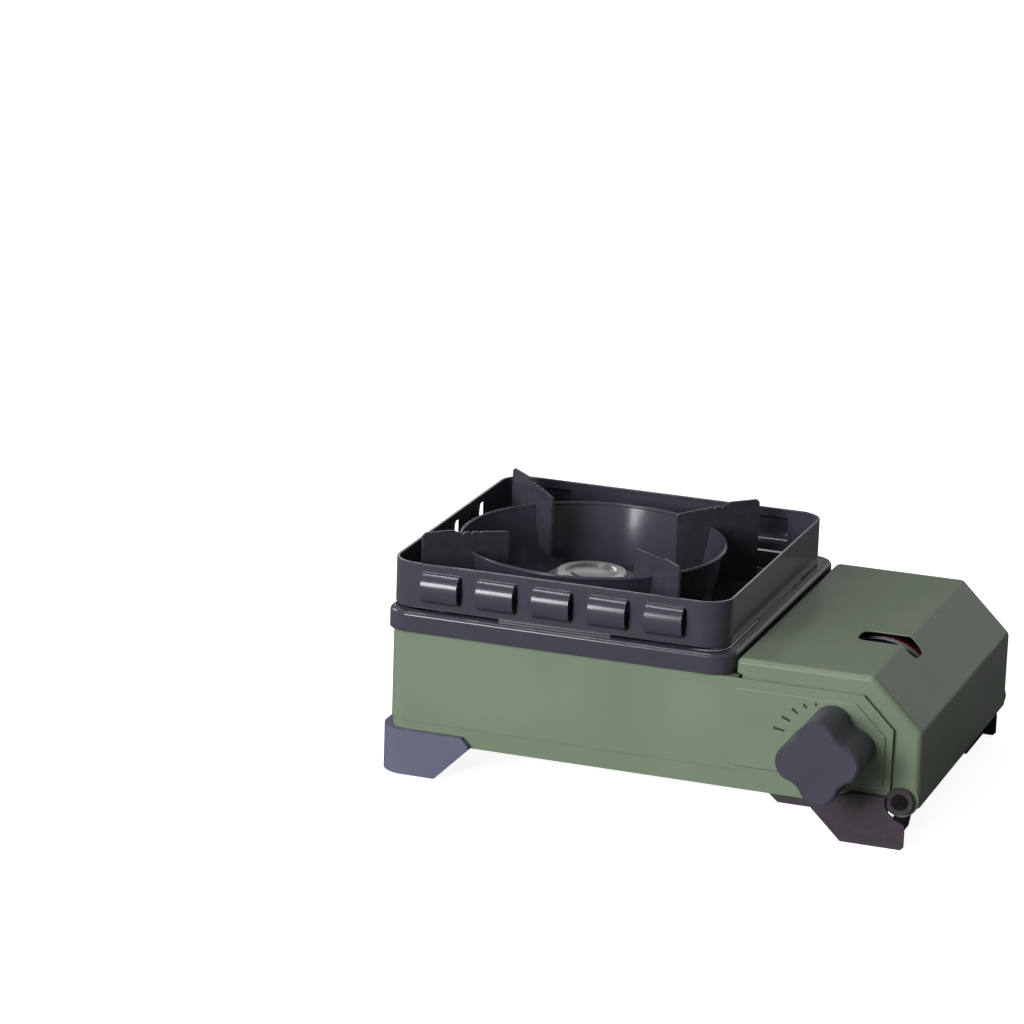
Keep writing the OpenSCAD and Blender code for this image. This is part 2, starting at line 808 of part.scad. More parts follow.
// Steel pipe from the regulator through the partition to the jet
module gas_pipe() {
    start_x = knob_x - regulator_r - 3 + 4;
    bend_x = pipe_turn_x + pipe_bend_r;
    run_y = burner_y - pipe_bend_r - pipe_y - pipe_bend_r;
    color("#b9bcc0") in_frame() {
        rod_x(pipe_y, pipe_z, bend_x, start_x - bend_x, pipe_r);
        translate([bend_x, pipe_y + pipe_bend_r, pipe_z]) rotate([0, 0, 180]) pipe_bend();
        rod_y(pipe_turn_x, pipe_z, pipe_y + pipe_bend_r, run_y, pipe_r);
        // Rise to the jet
        translate([pipe_turn_x, burner_y - pipe_bend_r, pipe_z + pipe_bend_r])
            rotate([90, 0, 90]) rotate([0, 0, -90]) pipe_bend();
        translate([pipe_turn_x, burner_y, pipe_z + pipe_bend_r])
            cylinder(r = pipe_r, h = tube_z - 6 - pipe_z - pipe_bend_r);
    }
}

// Brass block with the gas jet, which points into the mixing tube, and its two straps
module jet_nozzle() {
    block = 12;
    strap_t = 1.2;
    block_w = 2 * (tube_r + strap_t);
    color("#c2a35a") in_frame() difference() {
        union() {
            translate([pipe_turn_x - block / 2, burner_y - block_w / 2, tube_z - block / 2])
                cube([block, block_w, block]);
            rod_x(burner_y, tube_z, jet_x, pipe_turn_x - jet_x, 4);
            translate([jet_x - 3, burner_y, tube_z]) rotate([0, 90, 0])
                cylinder(r1 = 1.5, r2 = 4, h = 3);
            for (s = [-1, 1])
                translate([tube_mouth_x - 5, burner_y + s * (tube_r + strap_t / 2) - strap_t / 2,
                    tube_z - 3])
                    cube([pipe_turn_x - tube_mouth_x, strap_t, 6]);
        }
        rod_x(burner_y, tube_z, jet_x - 4, 8, 0.6);
    }
}

// ---- Burner ----

// Pressed venturi tube that mixes gas and air and leads them under the burner head
module mixing_tube() {
    t = 1.2;
    throat_r = tube_r - 3;
    mouth_l = 12;
    color("#b4b7ba") in_frame() difference() {
        translate([burner_x, burner_y, tube_z]) rotate([0, 90, 0]) rotate_extrude() polygon([
            [0, -tube_r],
            [tube_r, -tube_r],
            [tube_r, 30],
            [throat_r, 46],
            [throat_r, tube_mouth_x - burner_x - mouth_l],
            [tube_r, tube_mouth_x - burner_x],
            [tube_r - t, tube_mouth_x - burner_x],
            [throat_r - t, tube_mouth_x - burner_x - mouth_l],
            [throat_r - t, 46],
            [tube_r - t, 30],
            [tube_r - t, -tube_r + t],
            [0, -tube_r + t]
        ]);
        // Outlet into the burner head
        translate([burner_x, burner_y, tube_z]) cylinder(r = tube_r - 3, h = tube_r + over);
    }
}

// Cast head: a bowl with flame ports under its flange
module burner_head() {
    t = 1.5;
    neck = tube_r - 3;
    ring_r0 = burner_ring_dia / 2;
    port_z = head_flange_z - 3;
    color("#a9acb0") in_frame() translate([burner_x, burner_y, 0]) difference() {
        union() {
            rotate_extrude() polygon([
                [neck, tube_z],
                [neck + t, tube_z],
                [neck + t, head_bottom_z],
                [ring_r0 + 1, head_bottom_z + 6],
                [ring_r0 + 1, head_flange_z - 1.5],
                [head_r, head_flange_z - 1.5],
                [head_r, head_flange_z],
                [ring_r0 - 2, head_flange_z],
                [ring_r0 - 2, head_bottom_z + 6 + t],
                [neck, head_bottom_z + t]
            ]);
        }
        for (i = [0 : port_count - 1]) rotate([0, 0, i * 360 / port_count])
            translate([ring_r0 - 3, 0, port_z]) rotate([0, 90, 0])
                cylinder(r = 1, h = 6);
        // The neck sits on the mixing tube like a saddle
        translate([-2 * tube_r, 0, tube_z]) rotate([0, 90, 0]) cylinder(r = tube_r, h = 4 * tube_r);
    }
}

// Stainless ring on the head, with slanted flame slots round its rim
module burner_ring() {
    ring_r0 = burner_ring_dia / 2;
    h = burner_top_z - head_flange_z;
    slots = 36;
    color("#c4c6c8") in_frame() translate([burner_x, burner_y, head_flange_z]) difference() {
        rotate_extrude() polygon([
            [ring_r0 - 5, 0],
            [ring_r0, 0],
            [ring_r0, h - 1],
            [ring_r0 - 1, h],
            [ring_r0 - 5, h]
        ]);
        for (i = [0 : slots - 1]) rotate([0, 0, i * 360 / slots])
            translate([ring_r0 - 1.4, -0.4, h * 0.35]) cube([3, 0.8, h]);
    }
}

// Domed disc in the middle, with two arc slots
module burner_cap() {
    cap_r = burner_ring_dia / 2 - 5;
    dome_h = 1.2;
    h = burner_top_z - head_flange_z - dome_h;
    dome_r = (cap_r * cap_r + dome_h * dome_h) / (2 * dome_h);
    color("#d0d2d3") in_frame() translate([burner_x, burner_y, head_flange_z]) difference() {
        union() {
            cylinder(r = cap_r, h = h);
            intersection() {
                translate([0, 0, h + dome_h - dome_r]) sphere(r = dome_r, $fn = 96);
                translate([0, 0, h]) cylinder(r = cap_r - 0.5, h = dome_h + over);
            }
        }
        for (a = [30, 210]) rotate([0, 0, a]) translate([0, 0, h - 1.2])
            rotate_extrude(angle = 110) translate([cap_r - 4, 0]) square([1.6, 4]);
    }
}

// Bridge on the base plate that carries the mixing tube and the head
module burner_bracket() {
    color("#b9bcc0") in_frame() difference() {
        union() {
            translate([burner_x - bridge_w / 2, burner_y - bridge_half, bridge_top_z - bridge_t])
                cube([bridge_w, 2 * bridge_half, bridge_t]);
            for (s = [-1, 1]) {
                translate([burner_x - bridge_w / 2,
                    burner_y + s * (bridge_half - bridge_t / 2) - bridge_t / 2, base_z])
                    cube([bridge_w, bridge_t, bridge_top_z - base_z]);
                translate([burner_x - bridge_w / 2,
                    burner_y + s * (bridge_half + 5 - bridge_t) - 5, base_z])
                    cube([bridge_w, 10, bridge_t]);
            }
        }
        for (s = [-1, 1]) translate([burner_x, burner_y + s * (bridge_half + 4), 0])
            cylinder(r = screw_r + running, h = base_z + 5);
        translate([electrode_x, electrode_y, electrode_z0 - over]) cylinder(r = electrode_r, h = 10);
    }
}

module burner_screws() {
    color("#c9ccd0") in_frame() for (s = [-1, 1])
        translate([burner_x, burner_y + s * (bridge_half + 4), base_z + bridge_t])
            pan_screw(bridge_t + sheet_t + 1);
}

// Ceramic sleeve of the spark electrode, beside the burner head
module electrode_insulator() {
    color("#e9e6dc") in_frame() translate([electrode_x, electrode_y, 0]) {
        translate([0, 0, electrode_z0]) cylinder(r = electrode_r, h = electrode_l);
        translate([0, 0, bridge_top_z]) cylinder(r = electrode_r + 1.4, h = 2);
    }
}

module electrode_tip() {
    wire_r = 0.7;
    rise = 3;
    color("#b9bcc0") in_frame() translate([electrode_x, electrode_y, electrode_z0 + electrode_l]) {
        cylinder(r = wire_r, h = rise);
        translate([0, 0, rise]) sphere(r = wire_r);
        translate([0, 0, rise]) rotate([-90, 0, 0]) cylinder(r = wire_r, h = 1.6);
    }
}

module igniter_body() {
    h = 15;
    w = 12;
    color("#e3e1da") in_frame() difference() {
        union() {
            translate([igniter_x - igniter_len, sheet_t, igniter_z - h / 2])
                cube([igniter_len, w, h]);
            // Lug that hooks on the front wall's inner side
            translate([igniter_x - igniter_len, sheet_t, igniter_z - h / 2 - 4])
                cube([8, 2, h + 8]);
        }
        rod_x(plunger_y, igniter_z, igniter_x - 14, 14 + over, plunger_r + running);
    }
}

// One straight stretch of the lead between two points that differ along one axis
module lead_stretch(a, b) {
    d = b - a;
    length = norm(d);
    translate(a) sphere(r = lead_r);
    translate(b) sphere(r = lead_r);
    if (d[0] != 0) rod_x(a[1], a[2], min(a[0], b[0]), length, lead_r);
    if (d[1] != 0) rod_y(a[0], a[2], min(a[1], b[1]), length, lead_r);
    if (d[2] != 0) translate([a[0], a[1], min(a[2], b[2])]) cylinder(r = lead_r, h = length);
}

// High-voltage lead, laid along the case floor from the igniter to the electrode
module igniter_lead() {
    y0 = sheet_t + 8;
    x0 = igniter_x - igniter_len - lead_r;
    low = base_z + lead_r + 2;
    turn_x = partition_x - 12;
    side_x = burner_x - 16;
    clip_z = bridge_top_z - 11;
    route = [
        [x0, y0, igniter_z],
        [turn_x, y0, igniter_z],
        [turn_x, y0, low],
        [side_x, y0, low],
        [side_x, electrode_y, low],
        [side_x, electrode_y, clip_z],
        [electrode_x, electrode_y, clip_z],
        [electrode_x, electrode_y, electrode_z0 - lead_r]
    ];
    color("#e8e3d5") in_frame()
        for (i = [0 : len(route) - 2]) lead_stretch(route[i], route[i + 1]);
}

// ---- Drip tray and what stands on it ----

module drip_tray() {
    t = enamel_t;
    skirt_h = tray_skirt_h;
    in_x = tray_x0 + well_inset;
    in_y = tray_y0 + well_inset;
    in_w = tray_w - 2 * well_inset;
    in_l = tray_len - 2 * well_inset;
    color("#2b2930") in_frame() difference() {
        union() {
            rounded_wall(tray_x0, tray_y0, tray_bottom_z, tray_w, tray_len, skirt_h,
                tray_corner_r, t);
            // Ledge under the square wind shield
            difference() {
                rounded_block(tray_x0, tray_y0, tray_top_z - t, tray_w, tray_len, t, tray_corner_r);
                rounded_block(in_x, in_y, tray_top_z - 2 * t, in_w, in_l, 4 * t, well_corner_r);
            }
            rounded_wall(in_x - t, in_y - t, tray_bottom_z, in_w + 2 * t, in_l + 2 * t, skirt_h,
                well_corner_r + t, t);
            rounded_block(in_x - t, in_y - t, tray_bottom_z, in_w + 2 * t, in_l + 2 * t, t,
                well_corner_r + t);
            bowl(bowl_r + 2 * t, tray_floor_z);
        }
        // Inside of the bowl, down to the hole for the burner head
        translate([burner_x, burner_y, 0]) rotate_extrude($fn = 96) polygon([
            [0, bowl_floor_z - 3 * t],
            [bowl_hole_r, bowl_floor_z - 3 * t],
            [bowl_hole_r, bowl_floor_z + bowl_lip_h + over],
            [bowl_hole_r + t, bowl_floor_z + bowl_lip_h + over],
            [bowl_hole_r + t, bowl_floor_z],
            [bowl_hole_r + 6, bowl_floor_z],
            [bowl_r, tray_floor_z],
            [bowl_r, tray_floor_z + over],
            [0, tray_floor_z + over]
        ]);
    }
}

// Underside of the bowl and the lip round the burner hole
module bowl(top_r, top_z) {
    t = enamel_t;
    translate([burner_x, burner_y, 0]) rotate_extrude($fn = 96) polygon([
        [bowl_hole_r, bowl_floor_z - t],
        [bowl_hole_r + 6, bowl_floor_z - t],
        [top_r, top_z - t],
        [top_r, top_z],
        [bowl_hole_r + t, bowl_floor_z + bowl_lip_h],
        [bowl_hole_r, bowl_floor_z + bowl_lip_h]
    ]);
}

// Half-round louvre, closed at its left end and open at its right end, standing out along -Y
module louvre(out, cut) {
    steps = 8;
    t = cut ? shield_t : 0;
    bite = cut ? over : 0;
    h = louvre_h / 2 - t;
    translate([-louvre_len / 2 + t, 0, 0]) rotate([90, 0, 90])
        linear_extrude(height = louvre_len - t + bite) polygon(concat(
            [[shield_t + bite, -h]],
            [for (k = [0 : steps]) [(t - out) * sin(k / steps * 180), -h * cos(k / steps * 180)]],
            [[shield_t + bite, h]]
        ));
}

// All louvres on the square wind shield, as solids or as the cuts that hollow them
module louvres(cut) {
    for (i = [0 : louvre_count - 1])
        translate([louvre_x0 + (i - (louvre_count - 1) / 2) * louvre_pitch, shield_y0, louvre_mid_z])
            louvre(louvre_out, cut);
    for (i = [0 : side_louvre_count - 1])
        translate([shield_x0, mid_y + (i - (side_louvre_count - 1) / 2) * side_louvre_pitch, louvre_mid_z])
            rotate([0, 0, -90]) mirror([1, 0, 0]) louvre(side_louvre_out, cut);
    for (side = [-1, 1])
        translate([louvre_x0 + side * rear_louvre_pitch / 2, shield_y1, louvre_mid_z])
            rotate([0, 0, 180]) louvre(louvre_out, cut);
}

module wind_shield() {
    h = shield_top_z - shield_bottom_z;
    rim_t = shield_t + 0.7;
    mid_x = (shield_x0 + shield_x1) / 2;
    color("#2b2930") in_frame() difference() {
        union() {
            rounded_wall(shield_x0, shield_y0, shield_bottom_z, shield_w, shield_len, h,
                shield_corner_r, shield_t);
            // Rolled upper edge, turned inwards
            rounded_wall(shield_x0, shield_y0, shield_top_z - shield_roll, shield_w, shield_len,
                shield_roll, shield_corner_r, rim_t);
            // Feet on the tray's ledge, one in the middle of each side
            intersection() {
                rounded_wall(shield_x0, shield_y0, tray_top_z, shield_w, shield_len, shield_gap,
                    shield_corner_r, shield_t);
                union() {
                    translate([mid_x - shield_foot_w / 2, 0, tray_top_z - over])
                        cube([shield_foot_w, case_d, shield_gap + over]);
                    translate([shield_x0 - over, mid_y - shield_foot_w / 2, tray_top_z - over])
                        cube([shield_w + 2 * over, shield_foot_w, shield_gap + over]);
                }
            }
            louvres(false);
        }
        louvres(true);
    }
}

// Round wind shield with a rolled rim, slotted for the pot supports
module inner_ring() {
    foot_r = ring_r - ring_taper - ring_t;
    color("#2b2930") in_frame() difference() {
        translate([burner_x, burner_y, 0]) union() {
            rotate_extrude($fn = 96) polygon([
                [foot_r, tray_floor_z],
                [foot_r + ring_t, tray_floor_z],
                [ring_r - ring_roll_r, ring_top_z - 2 * ring_roll_r],
                [ring_r - ring_roll_r, ring_top_z - ring_roll_r],
                [ring_r - ring_roll_r - ring_t, ring_top_z - ring_roll_r]
            ]);
            translate([0, 0, ring_top_z - ring_roll_r]) rotate_extrude($fn = 96)
                translate([ring_r - ring_roll_r, 0]) circle(r = ring_roll_r, $fn = 24);
        }
        for (i = [0 : 3]) at_support(i)
            translate([foot_r - 3, -support_t / 2 - ring_slot_gap, support_slot_z])
                cube([14, support_t + 2 * ring_slot_gap, 60]);
    }
}

// Frame of pot support i: X runs outwards along a diagonal from the burner's axis
module at_support(i) {
    translate([burner_x, burner_y, 0]) rotate([0, 0, 45 + 90 * i]) children();
}

// Upright plate: level outer end that carries the pot, three notches, then a slight fall inwards.
// It stands on the tray's floor outside the round shield and reaches in through that shield's slot
module pot_support(i) {
    r0 = support_inner_r;
    r1 = support_outer_r;
    top = support_top_z;
    level_r = r1 - 17;
    notch_r = r1 - 34;
    notch_z = top - 2.4;
    notch_w = 1.8;
    notch_step = 5;
    foot_r = ring_r - 3;
    low_z = support_slot_z + clear;
    color("#26242a") in_frame() at_support(i) rotate([90, 0, 0])
        translate([0, 0, -support_t / 2]) linear_extrude(height = support_t) difference() {
            polygon([
                [foot_r, tray_floor_z],
                [r1 - 1, tray_floor_z],
                [r1, tray_floor_z + 2],
                [r1, top - 1.5],
                [r1 - 1.5, top],
                [level_r, top],
                [level_r - 3, notch_z + 0.9],
                [notch_r, notch_z],
                [r0 + 1, notch_z - 1.3],
                [r0, notch_z - 2.3],
                [r0, low_z + 1],
                [r0 + 1, low_z],
                [foot_r, low_z]
            ]);
            for (k = [0 : 2]) translate([notch_r + 1.5 + k * notch_step, notch_z + 0.6])
                rotate(45) square(notch_w, center = true);
        }
}

module pot_support_1() {
    pot_support(0);
}

module pot_support_2() {
    pot_support(1);
}

module pot_support_3() {
    pot_support(2);
}

module pot_support_4() {
    pot_support(3);
}

// Angle tabs that fix each pot support to the tray's floor, with their rivets
module support_rivets() {
    tab = 8;
    t = 0.8;
    color("#9b9ca3") in_frame() for (i = [0 : 3]) at_support(i)
        translate([support_tab_r, support_t / 2, tray_floor_z]) {
            cube([tab, tab, t]);
            cube([tab, t, tab]);
            translate([tab / 2, tab * 0.6, t]) cylinder(r = 1.6, h = 1);
            translate([tab / 2, t, tab * 0.6]) rotate([-90, 0, 0]) cylinder(r = 1.6, h = 1);
        }
}

// ---- Canister cover ----

// Middles of the cover's pressed bends in X and Z, from the left edge to the right side
cover_bends = [
    [cover_left_x + cover_edge_r, cover_top_z - cover_edge_r],
    [cover_slope_x - cover_edge_r * cover_bend_share, cover_top_z - cover_edge_r],
    [cover_right_x - cover_edge_r, cover_slope_z - cover_edge_r * cover_bend_share]
];

// Solid with the cover's outline and rounded ends, at the distance r outside the bends' middles
module cover_solid(r) {
    y0 = cover_end_inset + cover_edge_r;
    hull() for (y = [y0, case_d - y0]) {
        for (k = [0 : 2]) translate([cover_bends[k][0], y, cover_bends[k][1]]) sphere(r = r, $fn = 32);
        for (k = [0, 2]) translate([cover_bends[k][0], y, cover_bottom_z])
            cylinder(r = r, h = cover_edge_r, $fn = 32);
    }
}

module canister_cover() {
    t = sheet_t;
    f = cover_flange_w;
    ear_x = cover_right_x - cover_ear_w;
    in_slope_x = cover_slope_x - f * (slope_len - cover_slope_w) / cover_slope_h;
    lip_z = cover_top_z - cover_lip_h;
    end_y = cover_end_inset;
    color("#6c7f63") in_frame() difference() {
        union() {
            difference() {
                cover_solid(cover_edge_r);
                cover_solid(cover_edge_r - t);
                // Open bottom and left side under the lip
                cube([cover_left_x + cover_edge_r, case_d, lip_z]);
                // Inside of the end flanges
                front_profile(0, case_d) polygon([
                    [0, -over],
                    [0, cover_top_z - f],
                    [in_slope_x, cover_top_z - f],
                    [ear_x, cover_top_z - f - (ear_x - in_slope_x) * slope_tan],
                    [ear_x, -over]
                ]);
                translate([0, 0, -over]) cube([cover_right_x + over, case_d, cover_bottom_z + over]);
            }
            // Hinge ears
            for (y = [end_y, case_d - end_y - t]) rod_y(hinge_x, hinge_z, y, t, hinge_ear_r);
        }
        rod_y(hinge_x, hinge_z, 0, case_d, hinge_pin_dia / 2 + running);
        // Window through which the canister shows
        translate([window_x0, window_y0, cover_slope_z]) linear_extrude(height = cover_slope_h + over)
            rounded_outline(window_x1 - window_x0, window_y1 - window_y0, window_r);
    }
}

// Rubber buffers under the cover's free edge
module cover_buffers() {
    color("#2b2b2d") in_frame() for (y = [buffer_inset, case_d - buffer_inset])
        translate([cover_left_x + 2 * buffer_r, y, cover_top_z - sheet_t - buffer_h - running])
            cylinder(r = buffer_r, h = buffer_h);
}

// ---- Knob and what turns with it ----

// Outline of the four-lobed knob, drawn in by the inset on all sides: round lobes on the axes,
// joined by hollows whose middles lie on the diagonals, so that the arcs meet smoothly
module knob_outline(inset) {
    lobe_steps = 8;
    hollow_steps = 5;
    lobe_x = knob_lobe_x;
    hollow_x = (knob_waist_r + knob_hollow_r) * cos(45);
    meet_a = atan2(hollow_x, hollow_x - lobe_x);
    polygon([
        for (i = [0 : 3]) each concat(
            [for (k = [-lobe_steps : lobe_steps])
                turned(i * 90, [lobe_x, 0] + around(k / lobe_steps * meet_a, knob_lobe_r - inset))],
            [for (k = [1 - hollow_steps : hollow_steps - 1])
                turned(i * 90, [hollow_x, hollow_x]
                    + around(225 - k / hollow_steps * (meet_a - 45), knob_hollow_r + inset))]
        )
    ]);
}

// Point at the angle a and the radius r
function around(a, r) = [r * cos(a), r * sin(a)];

// Point p turned about the origin by the angle a
function turned(a, p) = [p[0] * cos(a) - p[1] * sin(a), p[0] * sin(a) + p[1] * cos(a)];

// Drawn with its face up at z = 0 and turned so that the face looks along -Y
module knob() {
    depth = knob_reach - field_out - knob_gap;
    edge = 0.5;
    color("#3f3e49") in_frame() translate([knob_x, knob_front_y, knob_z])
        rotate([-90, 0, 0]) rotate([0, 0, -knob_turned]) difference() {
            union() {
                for (k = [0 : 2]) translate([0, 0, k * edge])
                    linear_extrude(height = edge) knob_outline((3 - k) * (3 - k) * edge / 4);
                translate([0, 0, 3 * edge]) linear_extrude(height = depth - 3 * edge)
                    knob_outline(0);
            }
            difference() {
                translate([0, 0, knob_face_t]) linear_extrude(height = depth) knob_outline(knob_wall);
                cylinder(r = knob_boss_r, h = depth - 4);
            }
            translate([0, 0, knob_shaft_y - knob_front_y]) cylinder(r = shaft_r, h = depth);
        }
}

module knob_shaft() {
    color("#b9bcc0") in_frame()
        rod_y(knob_x, knob_z, knob_shaft_y, plate_y + 4.5 - knob_shaft_y, shaft_r);
}

// Radius of the igniter cam at the angle a, anticlockwise from the right
function cam_radius(a) =
    a >= 180 - knob_turn_angle && a <= 180
        ? cam_min_r + igniter_stroke * (180 - a) / knob_turn_angle
        : a >= cam_fall_a && a < 180 - knob_turn_angle
            ? cam_min_r + igniter_stroke * (a - cam_fall_a) / (180 - knob_turn_angle - cam_fall_a)
            : cam_min_r;

// Spiral cam on the shaft, which pushes the igniter's plunger as the knob turns
module igniter_cam() {
    steps = 72;
    color("#d8d8d4") in_frame() difference() {
        front_profile(cam_y0, cam_t) translate([knob_x, knob_z]) polygon([
            for (i = [0 : steps - 1]) let (a = i * 360 / steps)
                cam_radius(a) * [cos(a), sin(a)]
        ]);
        rod_y(knob_x, knob_z, cam_y0 - over, cam_t + 2 * over, shaft_r);
    }
}

module igniter_plunger() {
    tip_x = knob_x - cam_min_r - clear;
    color("#c9ccd0") in_frame() {
        rod_x(plunger_y, igniter_z, igniter_x - 7, tip_x - plunger_r - igniter_x + 7, plunger_r);
        translate([tip_x - plunger_r, plunger_y, igniter_z]) sphere(r = plunger_r);
    }
}

// ---- Gas canister ----

// A profile of radius and distance from the collar's front, turned about the canister's axis
module turned_canister() {
    translate([can_x, can_front_y, can_z]) rotate([-90, 0, 0]) rotate_extrude($fn = 96) children();
}

// Thin drawn can with a domed shoulder, a seam at each end and a base that bulges inwards
module canister_body() {
    c = can_collar_dia / 2;
    k = can_collar_len;
    s = can_collar_len + can_shoulder_len;
    b = can_body_r;
    l = can_len;
    t = can_wall;
    color("#e9e9ea") in_frame() turned_canister() union() {
        polygon([
            [can_stem_r, k - 2],
            [c - 1, k - 2],
            [c - 1, 0],
            [c, 0],
            [c, k],
            [c + 9, k + 0.6],
            [c + 15, k + 3],
            [b - 1, s - 2],
            [b, s],
            [b, l - can_seam_r],
            [b - 1.5, l - can_seam_r],
            [b - 6, l - 4],
            [0, l - 8],
            [0, l - 8 - t],
            [b - 6 - t, l - 4 - t],
            [b - 2, l - 2.5],
            [b - t, l - 2.5],
            [b - t, s],
            [b - 1 - t, s - 2 + t],
            [c + 15, k + 3 + t],
            [c + 9, k + 0.6 + t],
            [c - 1, k + t],
            [can_stem_r, k - 2 + t]
        ]);
        translate([b, s]) circle(r = can_seam_r, $fn = 24);
        translate([b, l - can_seam_r]) circle(r = can_seam_r, $fn = 24);
    }
}

// Mounting cup of the valve, inside the collar
module canister_cup() {
    k = can_collar_len;
    color("#c9ccd0") in_frame() turned_canister() polygon([
        [can_stem_r, k - 2],
        [8, k - 2],
        [8, k - 4],
        [7, k - 4],
        [6.4, k - 2.8],
        [can_stem_r, k - 2.8]
    ]);
}

module canister_stem() {
    color("#f2efe6") in_frame() turned_canister() polygon([
        [0.7, 1.4],
        [can_stem_r, 1.4],
        [can_stem_r, can_collar_len - 2],
        [0.7, can_collar_len - 2]
    ]);
}

body_shell();
base_plate();
canister_trough();
partition_wall();
heat_panel();
front_leg_plate();
rear_leg_plate();
left_front_foot();
left_rear_foot();
casing_screws();
hinge_pins();
regulator_bracket();
regulator_body();
regulator_screws();
magnet_ring();
inlet_seal();
inlet_probe();
shaft_bush();
gas_pipe();
jet_nozzle();
mixing_tube();
burner_head();
burner_ring();
burner_cap();
burner_bracket();
burner_screws();
electrode_insulator();
electrode_tip();
igniter_body();
igniter_lead();
drip_tray();
wind_shield();
inner_ring();
pot_support_1();
pot_support_2();
pot_support_3();
pot_support_4();
support_rivets();
canister_cover();
cover_buffers();
knob();
knob_shaft();
igniter_cam();
igniter_plunger();
canister_body();
canister_cup();
canister_stem();
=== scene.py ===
"""Looks of a portable butane cassette stove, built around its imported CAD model."""

import json
import math

import bpy
from mathutils import Matrix, Vector


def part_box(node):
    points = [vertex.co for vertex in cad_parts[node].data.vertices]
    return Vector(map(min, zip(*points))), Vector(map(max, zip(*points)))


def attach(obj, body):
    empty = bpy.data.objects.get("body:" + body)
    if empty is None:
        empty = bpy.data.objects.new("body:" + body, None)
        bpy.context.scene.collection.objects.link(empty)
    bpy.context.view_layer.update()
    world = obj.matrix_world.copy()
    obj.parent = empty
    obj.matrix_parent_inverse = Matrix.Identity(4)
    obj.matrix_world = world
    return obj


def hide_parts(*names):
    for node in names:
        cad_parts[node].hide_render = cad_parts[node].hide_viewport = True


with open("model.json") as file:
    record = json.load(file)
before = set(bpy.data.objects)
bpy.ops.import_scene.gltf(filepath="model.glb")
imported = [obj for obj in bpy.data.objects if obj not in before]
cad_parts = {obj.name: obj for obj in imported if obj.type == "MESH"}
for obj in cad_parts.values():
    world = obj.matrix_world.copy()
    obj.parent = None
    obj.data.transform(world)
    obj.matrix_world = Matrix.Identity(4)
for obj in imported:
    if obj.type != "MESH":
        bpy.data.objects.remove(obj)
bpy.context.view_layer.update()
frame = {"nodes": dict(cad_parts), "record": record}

bl_info = {
    "name": "Cassette Stove Finish",
    "version": (1, 0, 0),
    "blender": (4, 5, 0),
    "location": "View3D > Sidebar > Stove",
    "description": "Dresses the CAD model of a butane cassette stove with real finishes",
    "category": "Object",
}

MM = 0.001

# Corners of the CAD triangles nearer than this are one corner, and faces flatter than this are one
WELD = 0.00001
FLAT = math.radians(0.4)
# Rounding leaves faces narrower than this where an edge has no room for it
COLLAPSED = 0.000002
# Edges sharper than the first are rounded, and edges blunter than the second are shaded smooth
EDGE_ANGLE = math.radians(32)
SMOOTH_ANGLE = math.radians(36)
# The same for pieces with curved walls of long facets, and for the cover's rims
STEEP_ANGLE = math.radians(50)


# ---------------------------------------------------------------- shader helpers


def linear(hex_colour, alpha=1.0):
    """Turns an sRGB hex colour into Blender's linear one."""
    digits = hex_colour.lstrip("#")
    channels = [int(digits[i : i + 2], 16) / 255 for i in (0, 2, 4)]
    low, split = 12.92, 0.04045
    return [c / low if c <= split else ((c + 0.055) / 1.055) ** 2.4 for c in channels] + [alpha]


def add(tree, kind, inputs=None, **values):
    """Adds a shader node, sets its properties, and sets or links its inputs."""
    made = tree.nodes.new(kind)
    for name, value in values.items():
        setattr(made, name, value)
    for name, value in (inputs or {}).items():
        if isinstance(value, bpy.types.NodeSocket):
            tree.links.new(value, made.inputs[name])
        else:
            made.inputs[name].default_value = value
    return made


def stretched(tree, scale=(1, 1, 1), centre=(0, 0, 0)):
    """Object coordinates, moved so that the centre is at zero, then scaled."""
    place = {0: add(tree, "ShaderNodeTexCoord").outputs["Object"], 1: centre}
    moved = {0: add(tree, "ShaderNodeVectorMath", place, operation="SUBTRACT").outputs[0], 1: scale}
    return add(tree, "ShaderNodeVectorMath", moved, operation="MULTIPLY").outputs[0]


def grain(tree, size_mm, detail=2.0, place=None):
    """Pattern of soft lumps of a real size in millimetres, as a 0 to 1 value."""
    place = place or stretched(tree)
    lumps = {"Vector": place, "Scale": 1 / (size_mm * MM), "Detail": detail}
    return add(tree, "ShaderNodeTexNoise", lumps).outputs["Fac"]


def surface(tree, colour, roughness, relief=(), **values):
    """Surface of a finish, with an input's spaces written as underscores.

    The colour is one hex colour, a socket, or a pattern with its dark and light hex colour. The
    roughness is one number, or a pattern with its least and greatest value. The relief is a stack
    of patterns from the lowest up, each with its depth in millimetres and its strength.
    """
    inputs = {name.replace("_", " "): value for name, value in values.items()}
    if isinstance(colour, str):
        colour = linear(colour)
    elif isinstance(colour, tuple):
        pattern, *tones = colour
        ramp = add(tree, "ShaderNodeValToRGB", {"Fac": pattern})
        for stop, share, tone in zip(ramp.color_ramp.elements, (0.3, 0.7), tones):
            stop.position = share
            stop.color = linear(tone)
        colour = ramp.outputs["Color"]
    if isinstance(roughness, tuple):
        pattern, least, greatest = roughness
        spread = {"Value": pattern, "To Min": least, "To Max": greatest}
        roughness = add(tree, "ShaderNodeMapRange", spread).outputs["Result"]
    inputs |= {"Base Color": colour, "Roughness": roughness}
    for pattern, depth_mm, strength in relief:
        layer = {"Height": pattern, "Distance": depth_mm * MM, "Strength": strength}
        if "Normal" in inputs:
            layer["Normal"] = inputs["Normal"]
        inputs["Normal"] = add(tree, "ShaderNodeBump", layer).outputs["Normal"]
    shader = add(tree, "ShaderNodeBsdfPrincipled", inputs)
    add(tree, "ShaderNodeOutputMaterial", {"Surface": shader.outputs["BSDF"]})


